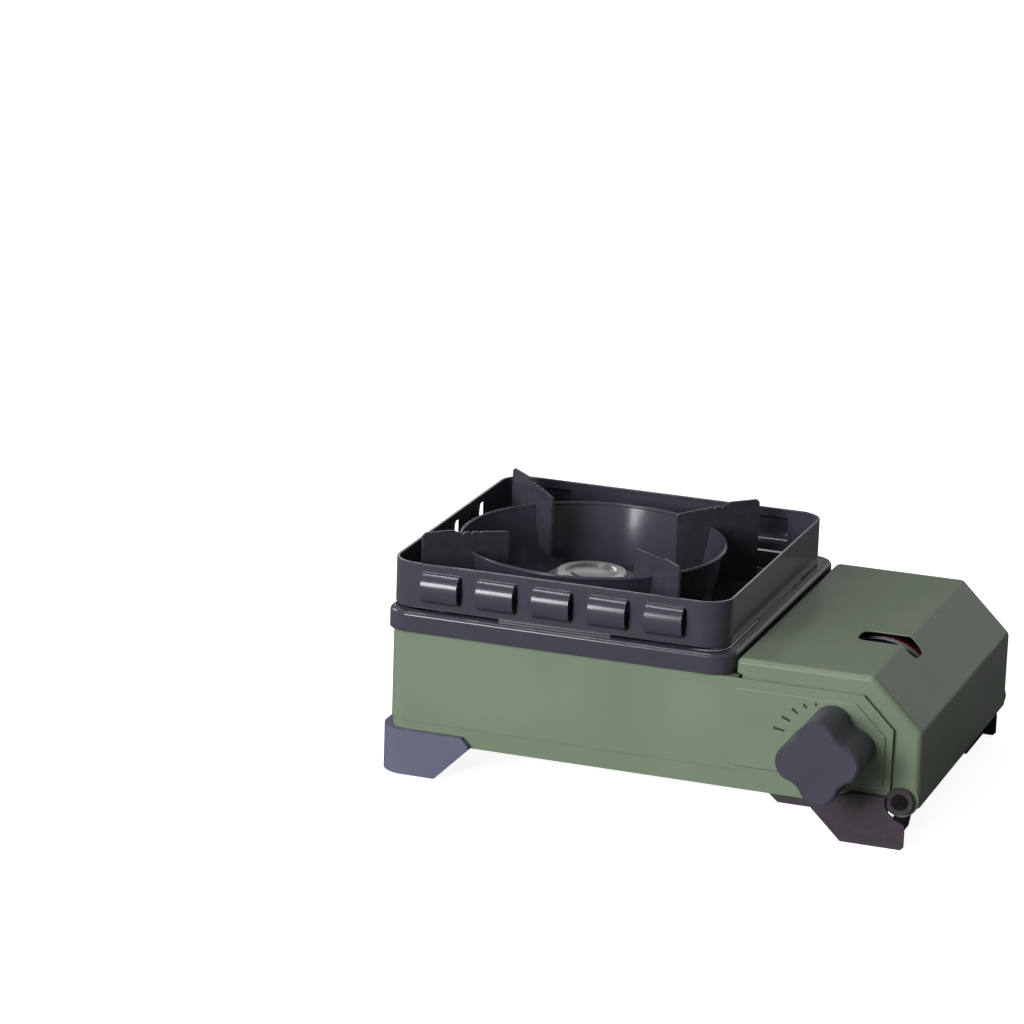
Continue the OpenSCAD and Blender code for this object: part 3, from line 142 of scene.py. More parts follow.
def made_once(build):
    """Names a material for its function, makes it at its first use and finds it after that."""
    name = build.__name__

    def found_or_made():
        material = bpy.data.materials.get(name)
        if material is None:
            material = bpy.data.materials.new(name)
            material.use_nodes = True
            material.node_tree.nodes.clear()
            build(material.node_tree)
        return material

    return found_or_made


# ---------------------------------------------------------------- finishes


@made_once
def olive_baked_paint(tree):
    """Sprayed and baked olive paint on pressed steel: satin, with a fine orange peel."""
    drift = grain(tree, size_mm=60, detail=1)
    peel = grain(tree, size_mm=1.6, detail=3)
    fine = grain(tree, size_mm=0.45, detail=1)
    surface(
        tree,
        colour=(drift, settings().paint_dark, settings().paint_light),
        roughness=(peel, 0.4, 0.5),
        relief=((peel, 0.02, 0.6), (fine, 0.006, 0.5)),
        Coat_Weight=0.4,
        Coat_Roughness=0.2,
    )


@made_once
def black_porcelain_enamel(tree):
    """Fired porcelain enamel on steel: a deep gloss that flows in slow waves with tiny pits."""
    wave = grain(tree, size_mm=9, detail=1)
    pits = grain(tree, size_mm=0.9)
    surface(
        tree,
        colour=(wave, "#37353f", "#3a3842"),
        roughness=(pits, 0.18, 0.25),
        relief=((wave, 0.04, 0.4), (pits, 0.004, 0.25)),
        Coat_Weight=0.35,
        Coat_Roughness=0.1,
    )


@made_once
def rubbed_ground_coat_enamel(tree):
    """Ground-coat enamel on the supports: thin, brown-black and rubbed matt by pots."""
    rub = grain(tree, size_mm=5, detail=4)
    grit = grain(tree, size_mm=0.9, detail=3)
    surface(
        tree,
        colour=(rub, "#332f38", "#3c3840"),
        roughness=(rub, 0.24, 0.38),
        relief=((grit, 0.012, 0.4),),
    )


@made_once
def dark_electrocoated_steel(tree):
    """Dip-painted dark steel: thin even film, semi-gloss, faintly mottled."""
    mottle = grain(tree, size_mm=3, detail=3)
    surface(
        tree,
        colour=(mottle, "#39343a", "#413b41"),
        roughness=(mottle, 0.34, 0.44),
        relief=((mottle, 0.015, 0.4),),
    )


@made_once
def blackened_steel(tree):
    """Steel pin, hot-blackened and oiled: almost black, with a soft metal sheen."""
    oil = grain(tree, size_mm=2.5, detail=3)
    surface(
        tree,
        colour=(oil, "#3b3a40", "#48474e"),
        roughness=(oil, 0.26, 0.4),
        relief=((oil, 0.006, 0.4),),
        Metallic=1.0,
    )


def moulded_plastic(tree, dark, light, roughness, grit_mm, depth_mm):
    """Injection-moulded plastic with a spark-eroded grain: an even, soft satin."""
    grit = grain(tree, grit_mm)
    drift = grain(tree, size_mm=25, detail=1)
    spread = 0.06
    surface(
        tree,
        colour=(drift, dark, light),
        roughness=(grit, roughness - spread, roughness + spread),
        relief=((grit, depth_mm, 0.6),),
        IOR=1.5,
    )


@made_once
def grey_moulded_abs(tree):
    """Bluish grey ABS of the feet, with a coarse grain that dulls its sheen."""
    moulded_plastic(tree, "#55576a", "#5a5c6e", roughness=0.5, grit_mm=0.5, depth_mm=0.02)


@made_once
def dark_moulded_abs(tree):
    """Near-black ABS of the knob, with a finer grain and a soft sheen on its lobes."""
    moulded_plastic(tree, "#3a3945", "#3f3e4a", roughness=0.42, grit_mm=0.35, depth_mm=0.012)


@made_once
def natural_moulded_acetal(tree):
    """Undyed acetal of the small bearings: milky white and slippery smooth."""
    moulded_plastic(tree, "#d2d2ce", "#dcdcd8", roughness=0.42, grit_mm=0.4, depth_mm=0.01)


@made_once
def sintered_ferrite(tree):
    """Pressed and sintered magnet: dull charcoal, as dry as slate."""
    moulded_plastic(tree, "#37383c", "#3e3f44", roughness=0.6, grit_mm=0.4, depth_mm=0.02)


@made_once
def galvanised_steel_sheet(tree):
    """Hot-dip zinc on steel: crystal spangle some 6 mm across, each facet of its own shade."""
    spangle_mm = 6
    cells = {"Vector": stretched(tree), "Scale": 1 / (spangle_mm * MM)}
    spangle = add(tree, "ShaderNodeTexVoronoi", cells).outputs["Color"]
    tone = add(tree, "ShaderNodeSeparateColor", {"Color": spangle}).outputs[0]
    surface(
        tree,
        colour=(tone, "#83868a", "#9b9ea2"),
        roughness=(tone, 0.34, 0.5),
        relief=((grain(tree, size_mm=0.8), 0.01, 0.4),),
        Metallic=1.0,
    )


@made_once
def zinc_plated_steel(tree):
    """Bright zinc-plated steel hardware: clear metal with fine drawing lines."""
    lines = grain(tree, size_mm=0.5, place=stretched(tree, scale=(1, 1, 0.12)))
    surface(
        tree,
        colour="#b9bbbf",
        roughness=(lines, 0.24, 0.38),
        relief=((lines, 0.004, 0.4),),
        Metallic=1.0,
    )


@made_once
def lathe_turned_stainless(tree):
    """Stainless disc finished on a lathe: fine rings round its axis that stretch the highlights."""
    flat = {0: stretched(tree, scale=(1, 1, 0), centre=burner_axis())}
    radius = add(tree, "ShaderNodeVectorMath", flat, operation="LENGTH").outputs["Value"]
    outwards = add(tree, "ShaderNodeCombineXYZ", {"X": radius}).outputs[0]
    # Real tool marks are finer than a pixel; these rings are 0.35 mm apart so that they show
    rings = grain(tree, size_mm=0.35, detail=3, place=outwards)
    haze = grain(tree, size_mm=4)
    surface(
        tree,
        colour=(haze, "#c9c8c7", "#d6d4d1"),
        roughness=(rings, 0.24, 0.4),
        relief=((rings, 0.012, 0.6),),
        Metallic=1.0,
    )


def cast_metal(tree, dark, light, smoothest, roughest):
    """Die-cast light alloy: a matt skin with small flow lumps."""
    lumps = grain(tree, size_mm=1.8, detail=4)
    surface(
        tree,
        colour=(lumps, dark, light),
        roughness=(lumps, smoothest, roughest),
        relief=((lumps, 0.03, 0.5),),
        Metallic=1.0,
    )


@made_once
def die_cast_aluminium(tree):
    """Casting of the burner head: pale grey, bare and heat-dulled."""
    cast_metal(tree, "#8d8c90", "#a5a4a8", smoothest=0.39, roughest=0.53)


@made_once
def die_cast_zinc(tree):
    """Casting of the regulator: a bluer grey with a tighter skin."""
    cast_metal(tree, "#86888c", "#9a9ca0", smoothest=0.36, roughest=0.5)


@made_once
def mill_finish_aluminium(tree):
    """Mill-finish aluminium strip: soft lines along the rolling direction."""
    lines = grain(tree, size_mm=0.7, place=stretched(tree, scale=(0.05, 1, 1)))
    surface(
        tree,
        colour="#bfc1c4",
        roughness=(lines, 0.3, 0.42),
        relief=((lines, 0.004, 0.4),),
        Metallic=1.0,
    )


@made_once
def turned_brass(tree):
    """Brass turned from bar: warm metal, slightly dulled by handling."""
    dull = grain(tree, size_mm=3, detail=3)
    surface(tree, colour=(dull, "#a98c4e", "#c4a664"), roughness=(dull, 0.22, 0.36), Metallic=1.0)


@made_once
def glazed_steatite(tree):
    """Glazed steatite: off-white with a thin clear glaze over a fine body."""
    body = grain(tree, size_mm=1.2)
    surface(
        tree,
        colour=(body, "#e2ddcf", "#ece8dd"),
        roughness=0.32,
        relief=((body, 0.01, 0.3),),
        Coat_Weight=0.8,
        Coat_Roughness=0.08,
    )


def moulded_rubber(tree, dark, light):
    """Moulded rubber: matt, with a dusty bloom."""
    bloom = grain(tree, size_mm=2.5, detail=4)
    surface(
        tree,
        colour=(bloom, dark, light),
        roughness=(bloom, 0.6, 0.8),
        relief=((grain(tree, size_mm=0.4), 0.01, 0.4),),
    )


@made_once
def moulded_nitrile_rubber(tree):
    """Black nitrile of seals and buffers: soot-dark and dry."""
    moulded_rubber(tree, "#242426", "#2e2e30")


@made_once
def silicone_lead_sheath(tree):
    """Cream silicone sheath of the spark lead: soft and chalky."""
    moulded_rubber(tree, "#d8d2c2", "#e4dfd1")


@made_once
def lacquered_tinplate(tree):
    """Tinplate can, clear-lacquered: white with printed plain blue and red hoops, and a band of
    darker navy past the red hoop.
    """
    low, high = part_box("canister_body")
    length = high[1] - low[1]
    place = {"Vector": stretched(tree, scale=(1, 1 / length, 1), centre=(0, low[1], 0))}
    along = add(tree, "ShaderNodeSeparateXYZ", place).outputs["Y"]
    tin, white, blue = "#b9babd", "#e6e6e8", "#23264a"
    # Each hoop starts at its share of the can's length and ends where the next one starts
    hoops = (
        (0.0, tin),
        (0.06, white),
        (0.3, blue),
        (0.366, "#f2f2f2"),
        (0.395, "#a3232c"),
        # From here to the next white hoop the can is a darker navy than its blue hoops
        (0.42, "#1d1f38"),
        (0.58, white),
        (0.86, blue),
        (0.92, white),
        (0.985, tin),
    )
    print_ramp = add(tree, "ShaderNodeValToRGB", {"Fac": along})
    bands = print_ramp.color_ramp
    bands.interpolation = "CONSTANT"
    while len(bands.elements) < len(hoops):
        bands.elements.new(1.0)
    for band, (start, colour) in zip(bands.elements, hoops):
        band.position = start
        band.color = linear(colour)
    surface(
        tree,
        colour=print_ramp.outputs["Color"],
        roughness=(grain(tree, size_mm=6), 0.22, 0.32),
        Metallic=0.25,
        Coat_Weight=0.6,
        Coat_Roughness=0.1,
    )


@made_once
def screen_printed_ink(tree):
    """Dark screen-printing ink: a flat film a little duller than the paint."""
    ink = grain(tree, size_mm=0.6)
    surface(tree, colour=(ink, "#2c322c", "#363c35"), roughness=(ink, 0.45, 0.6))


@made_once
def white_studio_card(tree):
    """Card of the floor: white with the stove's shadow to the camera, and dim grey to all else."""
    card = add(tree, "ShaderNodeBsdfDiffuse", {"Color": linear("#d8d8d8")})
    dim_card = add(tree, "ShaderNodeBsdfDiffuse", {"Color": linear("#78787a")})
    # With the light that falls on the card, this glow brings it to white
    glow = add(tree, "ShaderNodeEmission", {"Color": linear("#ffffff"), "Strength": 0.9})
    both = add(tree, "ShaderNodeAddShader", {0: card.outputs[0], 1: glow.outputs[0]})
    to_camera = add(tree, "ShaderNodeLightPath").outputs["Is Camera Ray"]
    choice = {0: to_camera, 1: dim_card.outputs[0], 2: both.outputs[0]}
    seen = add(tree, "ShaderNodeMixShader", choice).outputs[0]
    add(tree, "ShaderNodeOutputMaterial", {"Surface": seen})


# ---------------------------------------------------------------- shaping helpers


def settings():
    """The stove's colours and edge radii."""
    return bpy.context.scene.stove_finish


def studio():
    """The values of camera and light."""
    return bpy.context.scene.stove_studio


def deselect():
    """Leaves nothing selected, since an operator acts on all that is."""
    if bpy.context.object and bpy.context.object.mode != "OBJECT":
        bpy.ops.object.mode_set(mode="OBJECT")
    bpy.ops.object.select_all(action="DESELECT")


def make_active(piece):
    """Selects one piece alone, for the operators that follow."""
    deselect()
    piece.select_set(True)
    bpy.context.view_layer.objects.active = piece


def finish_with(piece, modifier, **values):
    """Adds a modifier and applies it."""
    make_active(piece)
    made = piece.modifiers.new(modifier.title(), modifier)
    for name, value in values.items():
        setattr(made, name, value)
    bpy.ops.object.modifier_apply(modifier=made.name)


def welded_copy(node, name):
    """A copy of a CAD node, with its loose triangles welded into clean faces."""
    make_active(frame["nodes"][node])
    bpy.ops.object.duplicate()
    piece = bpy.context.active_object
    piece.name = name
    piece.data.name = name
    piece.parent = None
    piece.matrix_world = Matrix.Identity(4)
    bpy.ops.object.mode_set(mode="EDIT")
    bpy.ops.mesh.select_all(action="SELECT")
    bpy.ops.mesh.remove_doubles(threshold=WELD)
    bpy.ops.mesh.dissolve_limited(angle_limit=FLAT)
    bpy.ops.object.mode_set(mode="OBJECT")
    return piece


def bevel_edges(piece, chosen, width, segments=5, sharper=0):
    """Rounds the edges whose two ends are both chosen, if they are sharper than an angle."""
    make_active(piece)
    bpy.ops.object.mode_set(mode="EDIT")
    bpy.ops.mesh.select_mode(type="EDGE")
    bpy.ops.mesh.select_all(action="DESELECT")
    bpy.ops.mesh.edges_select_sharp(sharpness=sharper)
    bpy.ops.object.mode_set(mode="OBJECT")
    mesh = piece.data
    for edge in mesh.edges:
        ends = [mesh.vertices[i].co for i in edge.vertices]
        edge.select = edge.select and all(chosen(end) for end in ends)
    for item in list(mesh.vertices) + list(mesh.polygons):
        item.select = False
    bpy.ops.object.mode_set(mode="EDIT")
    bpy.ops.mesh.bevel(offset=width, segments=segments)
    bpy.ops.object.mode_set(mode="OBJECT")


def rounded_copy(
    node,
    name,
    radius,
    material,
    segments=2,
    edge_angle=EDGE_ANGLE,
    smooth_angle=SMOOTH_ANGLE,
    before=None,
):
    """Stands for a CAD node with the same form, its sharp edges rounded as the real ones are.

    A piece with no radius keeps its edges, apart from those that the step before rounds.
    """
    piece = welded_copy(node, name)
    if before:
        before(piece)
    if radius:
        finish_with(
            piece,
            "BEVEL",
            width=radius,
            segments=segments,
            limit_method="ANGLE",
            angle_limit=edge_angle,
            use_clamp_overlap=True,
            harden_normals=False,
        )
        finish_with(piece, "WELD", merge_threshold=COLLAPSED)
    make_active(piece)
    bpy.ops.object.shade_smooth_by_angle(angle=smooth_angle)
    finish_with(piece, "WEIGHTED_NORMAL", keep_sharp=True, weight=100)
    paint(piece, material)
    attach(piece, body_of_node(node))
    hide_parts(node)


def body_of_node(node):
    """The body that a CAD node moves with."""
    for body, nodes in frame["record"]["behaviour"]["bodies"].items():
        if node in nodes:
            return body
    raise RuntimeError("no body holds " + node)


def paint(piece, material):
    """Gives a piece one material in all its slots."""
    if not piece.material_slots:
        piece.data.materials.append(material)
    for slot in piece.material_slots:
        slot.material = material


def middle(node):
    """Middle of a CAD node's box."""
    low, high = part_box(node)
    return Vector((a + b) / 2 for a, b in zip(low, high))


def burner_axis():
    """Where the burner's upright axis meets the table."""
    centre = middle("burner_ring")
    return (centre.x, centre.y, 0)


# ---------------------------------------------------------------- settings


class StoveFinish(bpy.types.PropertyGroup):
    """Colours and edge radii of the stove"""

    paint_dark: bpy.props.StringProperty(
        name="Paint, darker",
        description="Darker tone of the olive paint",
        default="#66745f",
    )
    paint_light: bpy.props.StringProperty(
        name="Paint, lighter",
        description="Lighter tone of the olive paint",
        default="#6d7b67",
    )
    sheet_edge: bpy.props.FloatProperty(
        name="Sheet edge",
        description="Rounding of pressed steel edges",
        default=0.3 * MM,
        min=0.1 * MM,
        max=0.6 * MM,
        precision=5,
        unit="LENGTH",
    )
    field_edge: bpy.props.FloatProperty(
        name="Field edge",
        description="Rounding of the raised field's outline",
        default=0.8 * MM,
        min=0.3 * MM,
        max=0.9 * MM,
        precision=5,
        unit="LENGTH",
    )
    moulded_edge: bpy.props.FloatProperty(
        name="Moulded edge",
        description="Rounding of the plastic feet's edges",
        default=1.2 * MM,
        min=0.3 * MM,
        max=2.5 * MM,
        precision=5,
        unit="LENGTH",
    )
    brim_edge: bpy.props.FloatProperty(
        name="Tray brim",
        description="Rolling of the tray's upper edge",
        default=2.2 * MM,
        min=0.5 * MM,
        max=2.6 * MM,
        precision=5,
        unit="LENGTH",
    )
    knob_edge: bpy.props.FloatProperty(
        name="Knob edge",
        description="Rounding of the knob's edges",
        default=0.24 * MM,
        min=0.1 * MM,
        max=0.5 * MM,
        precision=5,
        unit="LENGTH",
    )
    burner_edge: bpy.props.FloatProperty(
        name="Burner edge",
        description="Rounding of the slotted ring's edges",
        default=0.12 * MM,
        min=0.05 * MM,
        max=0.2 * MM,
        precision=5,
        unit="LENGTH",
    )


class StoveStudio(bpy.types.PropertyGroup):
    """Camera and light"""

    azimuth: bpy.props.FloatProperty(
        name="Azimuth",
        description="Camera's turn to the right of the front",
        default=math.radians(19.3),
        subtype="ANGLE",
    )
    elevation: bpy.props.FloatProperty(
        name="Elevation",
        description="Camera's height as an angle",
        default=math.radians(16.14),
        subtype="ANGLE",
    )
    roll: bpy.props.FloatProperty(
        name="Roll",
        description="Turn of the picture",
        default=math.radians(1.93),
        subtype="ANGLE",
    )
    distance: bpy.props.FloatProperty(
        name="Distance",
        description="Distance of the camera from the stove",
        default=2.269,
        unit="LENGTH",
    )
    lens: bpy.props.FloatProperty(
        name="Lens",
        description="Focal length on a 36 mm wide frame",
        default=154.02,
        unit="CAMERA",
    )
    shift_right: bpy.props.FloatProperty(
        name="Slide right",
        description="Sideways slide of the camera",
        default=-0.0819,
        unit="LENGTH",
    )
    shift_up: bpy.props.FloatProperty(
        name="Slide up",
        description="Upward slide of the camera",
        default=0.0834,
        unit="LENGTH",
    )
    key_light: bpy.props.FloatProperty(
        name="Key light",
        description="Strength of the large front light",
        default=49.0,
        unit="POWER",
    )
    front_light: bpy.props.FloatProperty(
        name="Front card",
        description="Strength of the small card in front that gloss mirrors",
        default=11.0,
        unit="POWER",
    )
    fill_light: bpy.props.FloatProperty(
        name="Fill light",
        description="Strength of the light from the left",
        default=8.0,
        unit="POWER",
    )
    top_light: bpy.props.FloatProperty(
        name="Top light",
        description="Strength of the strip overhead",
        default=4.5,
        unit="POWER",
    )
    rear_light: bpy.props.FloatProperty(
        name="Rear light",
        description="Strength of the wide panel behind",
        default=2.9,
        unit="POWER",
    )
    burner_light: bpy.props.FloatProperty(
        name="Burner light",
        description="Strength of the small card that the burner mirrors",
        default=0.55,
        unit="POWER",
    )
    sky: bpy.props.FloatProperty(
        name="Surround",
        description="Strength of the white surround",
        default=0.19,
    )


# ---------------------------------------------------------------- pieces


class STOVE_OT_case(bpy.types.Operator):
    """Painted case and canister cover, with their pressed edges rounded"""

    bl_idname = "stove.case"
    bl_label = "Case and cover"
    bl_options = {"REGISTER", "UNDO"}

    # Top of the cover's slim knuckles, whose rims have no room for a rounding
    knuckle_top = 38 * MM
    # Reach of the shaft's hole in the raised field
    hole_reach = 14 * MM

    def execute(self, context):
        edge = settings().sheet_edge
        olive = olive_baked_paint()
        rounded_copy("body_shell", "case_shell", edge, olive, before=self.round_field)
        rounded_copy("canister_cover", "cover_shell", 0, olive, before=self.round_rims)
        return {"FINISHED"}

    def round_field(self, piece):
        """Rounds the outline of the raised field, which lies foremost, clear of the shaft's hole"""
        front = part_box("body_shell")[0][1]
        shaft = middle("knob_shaft")
        shaft.y = front

        def on_outline(end):
            return end.y - front < WELD and (end - shaft).length > self.hole_reach

        bevel_edges(piece, on_outline, settings().field_edge)

    def round_rims(self, piece):
        """Rounds the cover's rims and window above the hinge"""

        def above_hinge(end):
            return end.z > self.knuckle_top

        edge = settings().sheet_edge
        bevel_edges(piece, above_hinge, edge, segments=2, sharper=STEEP_ANGLE)


class STOVE_OT_tray(bpy.types.Operator):
    """Enamelled drip tray, both wind shields and the pot supports"""

    bl_idname = "stove.tray"
    bl_label = "Tray, shields and supports"
    bl_options = {"REGISTER", "UNDO"}

    # Width of the tray's outer border, in which its upper edge lies
    border = 4 * MM
    support_count = 4

    def execute(self, context):
        edge = settings().sheet_edge
        enamel = black_porcelain_enamel()
        rounded_copy("drip_tray", "tray_pressing", edge, enamel, before=self.round_brim)
        rounded_copy("wind_shield", "square_shield", edge, enamel)
        # The round shield's rim is rolled in CAD, so its own edges stay crisper
        rounded_copy("inner_ring", "round_shield", 0.6 * edge, enamel)
        rubbed = rubbed_ground_coat_enamel()
        for i in range(1, self.support_count + 1):
            rounded_copy(f"pot_support_{i}", f"support_plate_{i}", edge, rubbed)
        return {"FINISHED"}

    def round_brim(self, piece):
        """Rolls the tray's outer upper edge"""
        low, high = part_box("drip_tray")

        def on_brim(end):
            inset = min(end.x - low[0], high[0] - end.x, end.y - low[1], high[1] - end.y)
            return high[2] - end.z < WELD and inset < self.border

        bevel_edges(piece, on_brim, settings().brim_edge)


class STOVE_OT_legs(bpy.types.Operator):
    """Steel leg plates on the right and plastic feet on the left"""

    bl_idname = "stove.legs"
    bl_label = "Legs and feet"
    bl_options = {"REGISTER", "UNDO"}

    def execute(self, context):
        plate_edge, foot_edge = settings().sheet_edge, settings().moulded_edge
        coat, grey = dark_electrocoated_steel(), grey_moulded_abs()
        for side in ("front", "rear"):
            rounded_copy(f"{side}_leg_plate", f"{side}_steel_leg", plate_edge, coat)
            rounded_copy(f"left_{side}_foot", f"{side}_boot", foot_edge, grey, segments=3)
        return {"FINISHED"}


class STOVE_OT_knob(bpy.types.Operator):
    """Four-lobed control knob"""

    bl_idname = "stove.knob"
    bl_label = "Knob"
    bl_options = {"REGISTER", "UNDO"}

    def execute(self, context):
        rounded_copy(
            "knob",
            "control_knob",
            settings().knob_edge,
            dark_moulded_abs(),
            edge_angle=STEEP_ANGLE,
            smooth_angle=STEEP_ANGLE,
        )
        return {"FINISHED"}


class STOVE_OT_burner(bpy.types.Operator):
    """Burner head with its slotted ring and domed centre"""

    bl_idname = "stove.burner"
    bl_label = "Burner"
    bl_options = {"REGISTER", "UNDO"}

    def execute(self, context):
        edge = settings().burner_edge
        # The casting's ports lie too close together for a rounding
        rounded_copy("burner_head", "head_casting", 0, die_cast_aluminium())
        rounded_copy("burner_ring", "slotted_ring", edge, lathe_turned_stainless())
        rounded_copy("burner_cap", "centre_disc", 1.25 * edge, lathe_turned_stainless())
        return {"FINISHED"}


class STOVE_OT_works(bpy.types.Operator):
    """Finishes of the pieces inside, which keep their CAD form"""

    bl_idname = "stove.works"
    bl_label = "Inner works"
    bl_options = {"REGISTER", "UNDO"}

    white_pieces = ("shaft_bush", "igniter_body", "igniter_cam", "canister_stem")
    plated_pieces = (
        "casing_screws",
        "regulator_bracket",
        "regulator_screws",
        "gas_pipe",
        "burner_bracket",
        "burner_screws",
        "electrode_tip",
        "support_rivets",
        "knob_shaft",
        "igniter_plunger",
        "canister_cup",
    )

    def execute(self, context):
        finishes = {
            "base_plate": galvanised_steel_sheet(),
            "canister_trough": dark_electrocoated_steel(),
            "hinge_pins": blackened_steel(),
            "partition_wall": dark_electrocoated_steel(),
            "heat_panel": mill_finish_aluminium(),
            "regulator_body": die_cast_zinc(),
            "mixing_tube": mill_finish_aluminium(),
            "magnet_ring": sintered_ferrite(),
            "inlet_seal": moulded_nitrile_rubber(),
            "cover_buffers": moulded_nitrile_rubber(),
            "igniter_lead": silicone_lead_sheath(),
            "inlet_probe": turned_brass(),
            "jet_nozzle": turned_brass(),
            "electrode_insulator": glazed_steatite(),
            "canister_body": lacquered_tinplate(),
        }
        finishes |= dict.fromkeys(self.white_pieces, natural_moulded_acetal())
        finishes |= dict.fromkeys(self.plated_pieces, zinc_plated_steel())
        for node, material in finishes.items():
            paint(frame["nodes"][node], material)
        return {"FINISHED"}


class STOVE_OT_dial(bpy.types.Operator):
    """Printed ticks on the raised field round the knob, which grow towards full flame"""

    bl_idname = "stove.dial"
    bl_label = "Dial marks"
    bl_options = {"REGISTER", "UNDO"}

    tick_count = 5
    # Each pair runs from the first tick, above the knob, to the last, on its left
    angles = (math.radians(116.5), math.radians(170.6))
    radii = (22.6 * MM, 28.9 * MM)
    lengths = (1.6 * MM, 6.0 * MM)
    width = 1.5 * MM
    # Width of a tick's inner end as a share of its outer end's
    taper = 0.7
    # Thickness of the ink
    film = 0.06 * MM

    def execute(self, context):
        marks = [self.tick(i / (self.tick_count - 1)) for i in range(self.tick_count)]
        make_active(marks[0])
        for mark in marks:
            mark.select_set(True)
        bpy.ops.object.join()
        dial = bpy.context.active_object
        dial.name = "dial_marks"
        paint(dial, screen_printed_ink())
        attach(dial, "casing")
        return {"FINISHED"}

    def tick(self, share):
        """One tapered tick, thin as ink, standing radially about the knob's axis"""
        spans = (self.angles, self.radii, self.lengths)
        angle, radius, length = (first + share * (last - first) for first, last in spans)
        deselect()
        bpy.ops.mesh.primitive_cube_add(size=1)
        mark = bpy.context.active_object
        mark.scale = (length, self.film, self.width)
        bpy.ops.object.transform_apply(location=False, rotation=False, scale=True)
        bpy.ops.object.mode_set(mode="EDIT")
        bpy.ops.mesh.select_all(action="DESELECT")
        bpy.ops.object.mode_set(mode="OBJECT")
        for vertex in mark.data.vertices:
            vertex.select = vertex.co.x < 0
        bpy.ops.object.mode_set(mode="EDIT")
        bpy.ops.transform.resize(value=(1, 1, self.taper))
        bpy.ops.object.mode_set(mode="OBJECT")
        place = middle("knob_shaft") + radius * Vector((math.cos(angle), 0, math.sin(angle)))
        place.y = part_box("body_shell")[0][1] - self.film / 2
        turn = Matrix.Rotation(-angle, 4, "Y")
        mark.data.transform(Matrix.Translation(place) @ turn)
        return mark


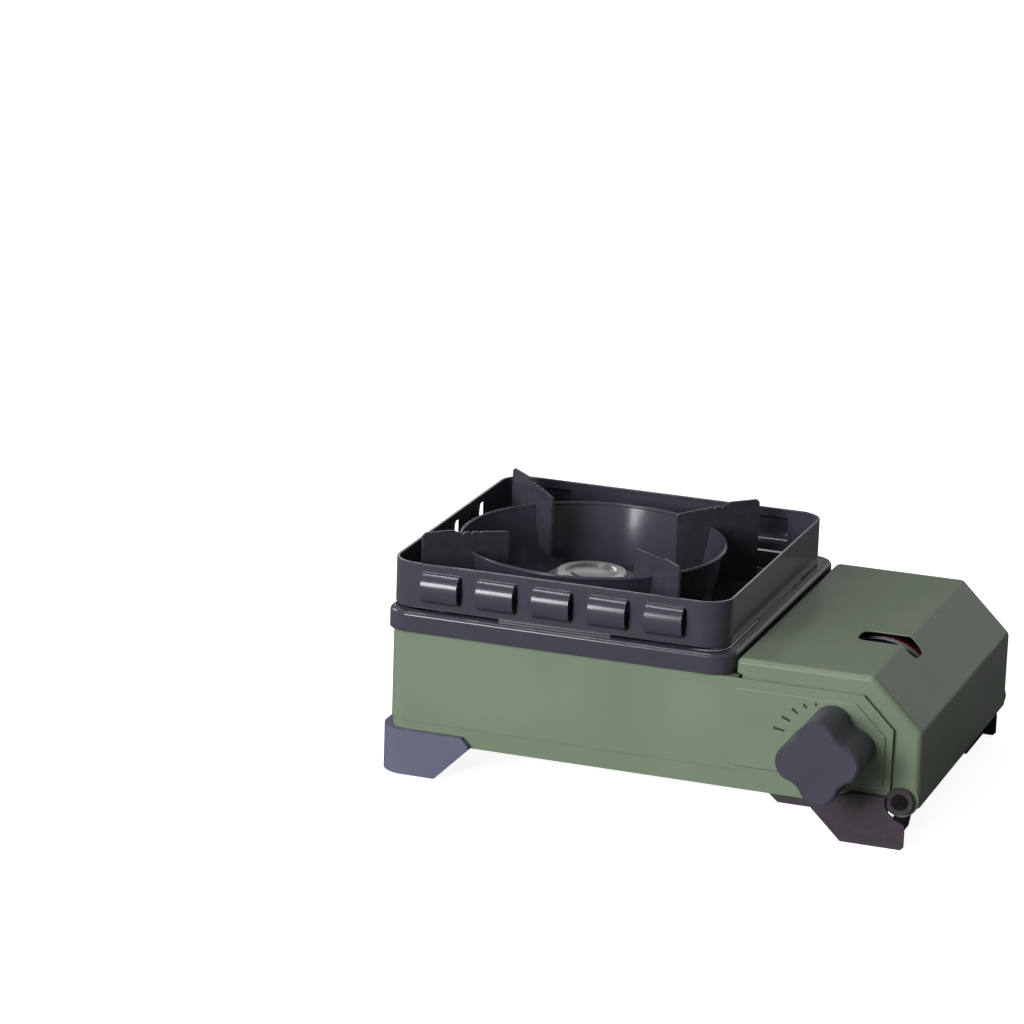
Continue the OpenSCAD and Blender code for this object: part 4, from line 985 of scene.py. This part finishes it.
class STOVE_OT_stage(bpy.types.Operator):
    """Pale floor, white surround, soft lights and the camera"""

    bl_idname = "stove.stage"
    bl_label = "Studio"
    bl_options = {"REGISTER", "UNDO"}

    floor_size = 8.0
    # The floor lies this far under the feet, so that they don't share a face with it
    floor_gap = 0.3 * MM
    # What the lamps and the camera point at, near the middle of the stove
    lamp_aim = Vector((0, 0, 0.05))
    camera_aim = Vector((-0.009, -0.009, 0.05))
    # Width of the frame that the focal length goes with
    frame_width_mm = 36
    far_clip = 50

    def execute(self, context):
        self.floor()
        self.surround()
        self.lights()
        self.camera()
        context.scene.view_settings.view_transform = "Standard"
        return {"FINISHED"}

    def floor(self):
        """A wide sheet of white card under the stove"""
        deselect()
        bpy.ops.mesh.primitive_plane_add(size=self.floor_size)
        floor = bpy.context.active_object
        floor.name = "studio_floor"
        floor.data.transform(Matrix.Translation((0, 0, -self.floor_gap)))
        paint(floor, white_studio_card())

    def surround(self):
        """White to the camera and through clear material, and a soft even light to all else"""
        world = bpy.data.worlds.new("white_surround")
        bpy.context.scene.world = world
        world.use_nodes = True
        tree = world.node_tree
        tree.nodes.clear()
        path = add(tree, "ShaderNodeLightPath").outputs
        rays = {0: path["Is Camera Ray"], 1: path["Is Transmission Ray"]}
        seen = add(tree, "ShaderNodeMath", rays, operation="MAXIMUM").outputs[0]
        levels = {"Value": seen, "To Min": studio().sky, "To Max": 1.0}
        level = add(tree, "ShaderNodeMapRange", levels).outputs["Result"]
        white = {"Color": linear("#ffffff"), "Strength": level}
        light = add(tree, "ShaderNodeBackground", white).outputs["Background"]
        add(tree, "ShaderNodeOutputWorld", {"Surface": light})

    def lights(self):
        """Soft lights for the body of the stove, and narrow ones that draw lines on its gloss"""
        values = studio()
        self.lamp("front_softbox", (-0.75, -1.9, 0.85), 1.2, 1.2, values.key_light, mirrored=False)
        self.lamp("left_softbox", (-1.6, 0.3, 0.9), 0.8, 0.8, values.fill_light)
        self.lamp("rear_panel", (0.95, 2.25, 0.8), 2.4, 0.8, values.rear_light)
        # Streak in the round shield and lower line on the louvres
        self.lamp("front_card", (-0.78, -1.8, 0.5), 0.4, 0.6, values.front_light)
        # Upper line on the louvres and on the tray's brim
        self.lamp("top_strip", (-0.62, -0.25, 1.9), 1.1, 0.12, values.top_light)
        self.lamp("burner_card", (-0.82, 2.19, 0.76), 0.5, 0.25, values.burner_light)

    def lamp(self, name, place, width, height, power, mirrored=True):
        """One rectangular light that faces the stove"""
        light = bpy.data.lights.new(name, "AREA")
        light.shape = "RECTANGLE"
        light.size = width
        light.size_y = height
        light.energy = power
        holder = bpy.data.objects.new(name, light)
        holder.visible_glossy = mirrored
        bpy.context.collection.objects.link(holder)
        turn = (self.lamp_aim - Vector(place)).to_track_quat("-Z", "Y").to_matrix().to_4x4()
        holder.matrix_world = Matrix.Translation(place) @ turn

    def camera(self):
        """Camera at the viewing angle, turned about the middle of the stove"""
        values = studio()
        lens = bpy.data.cameras.new("view")
        lens.sensor_width = self.frame_width_mm
        lens.lens = values.lens
        lens.clip_end = self.far_clip
        view = bpy.data.objects.new("view", lens)
        bpy.context.collection.objects.link(view)
        az, el, roll = values.azimuth, values.elevation, values.roll
        back = Vector((math.sin(az) * math.cos(el), -math.cos(az) * math.cos(el), math.sin(el)))
        level_right = Vector((math.cos(az), math.sin(az), 0))
        level_up = back.cross(level_right)
        right = level_right * math.cos(roll) + level_up * math.sin(roll)
        up = level_up * math.cos(roll) - level_right * math.sin(roll)
        slide = right * values.shift_right + up * values.shift_up
        place = self.camera_aim + back * values.distance + slide
        turn = Matrix((right, up, back)).transposed().to_4x4()
        view.matrix_world = Matrix.Translation(place) @ turn
        bpy.context.scene.camera = view


# ---------------------------------------------------------------- add-on


class STOVE_PT_panel(bpy.types.Panel):
    """Lists the settings and the steps that dress the stove"""

    bl_label = "Cassette Stove"
    bl_idname = "STOVE_PT_panel"
    bl_space_type = "VIEW_3D"
    bl_region_type = "UI"
    bl_category = "Stove"

    def draw(self, context):
        for group in (context.scene.stove_finish, context.scene.stove_studio):
            for name in group.__annotations__:
                self.layout.prop(group, name)
        for step in STEPS:
            self.layout.operator(step.bl_idname)


STEPS = (
    STOVE_OT_case,
    STOVE_OT_tray,
    STOVE_OT_legs,
    STOVE_OT_knob,
    STOVE_OT_burner,
    STOVE_OT_works,
    STOVE_OT_dial,
    STOVE_OT_stage,
)
CLASSES = (StoveFinish, StoveStudio, *STEPS, STOVE_PT_panel)


def register():
    """Makes the stove's settings and steps known to Blender."""
    for item in CLASSES:
        bpy.utils.register_class(item)
    bpy.types.Scene.stove_finish = bpy.props.PointerProperty(type=StoveFinish)
    bpy.types.Scene.stove_studio = bpy.props.PointerProperty(type=StoveStudio)


def unregister():
    """Takes the stove's settings and steps away again."""
    del bpy.types.Scene.stove_studio
    del bpy.types.Scene.stove_finish
    for item in reversed(CLASSES):
        bpy.utils.unregister_class(item)


def main():
    """Dresses the stove."""
    register()
    bpy.ops.stove.case()
    bpy.ops.stove.tray()
    bpy.ops.stove.legs()
    bpy.ops.stove.knob()
    bpy.ops.stove.burner()
    bpy.ops.stove.works()
    bpy.ops.stove.dial()
    bpy.ops.stove.stage()


if __name__ == "__main__":
    main()
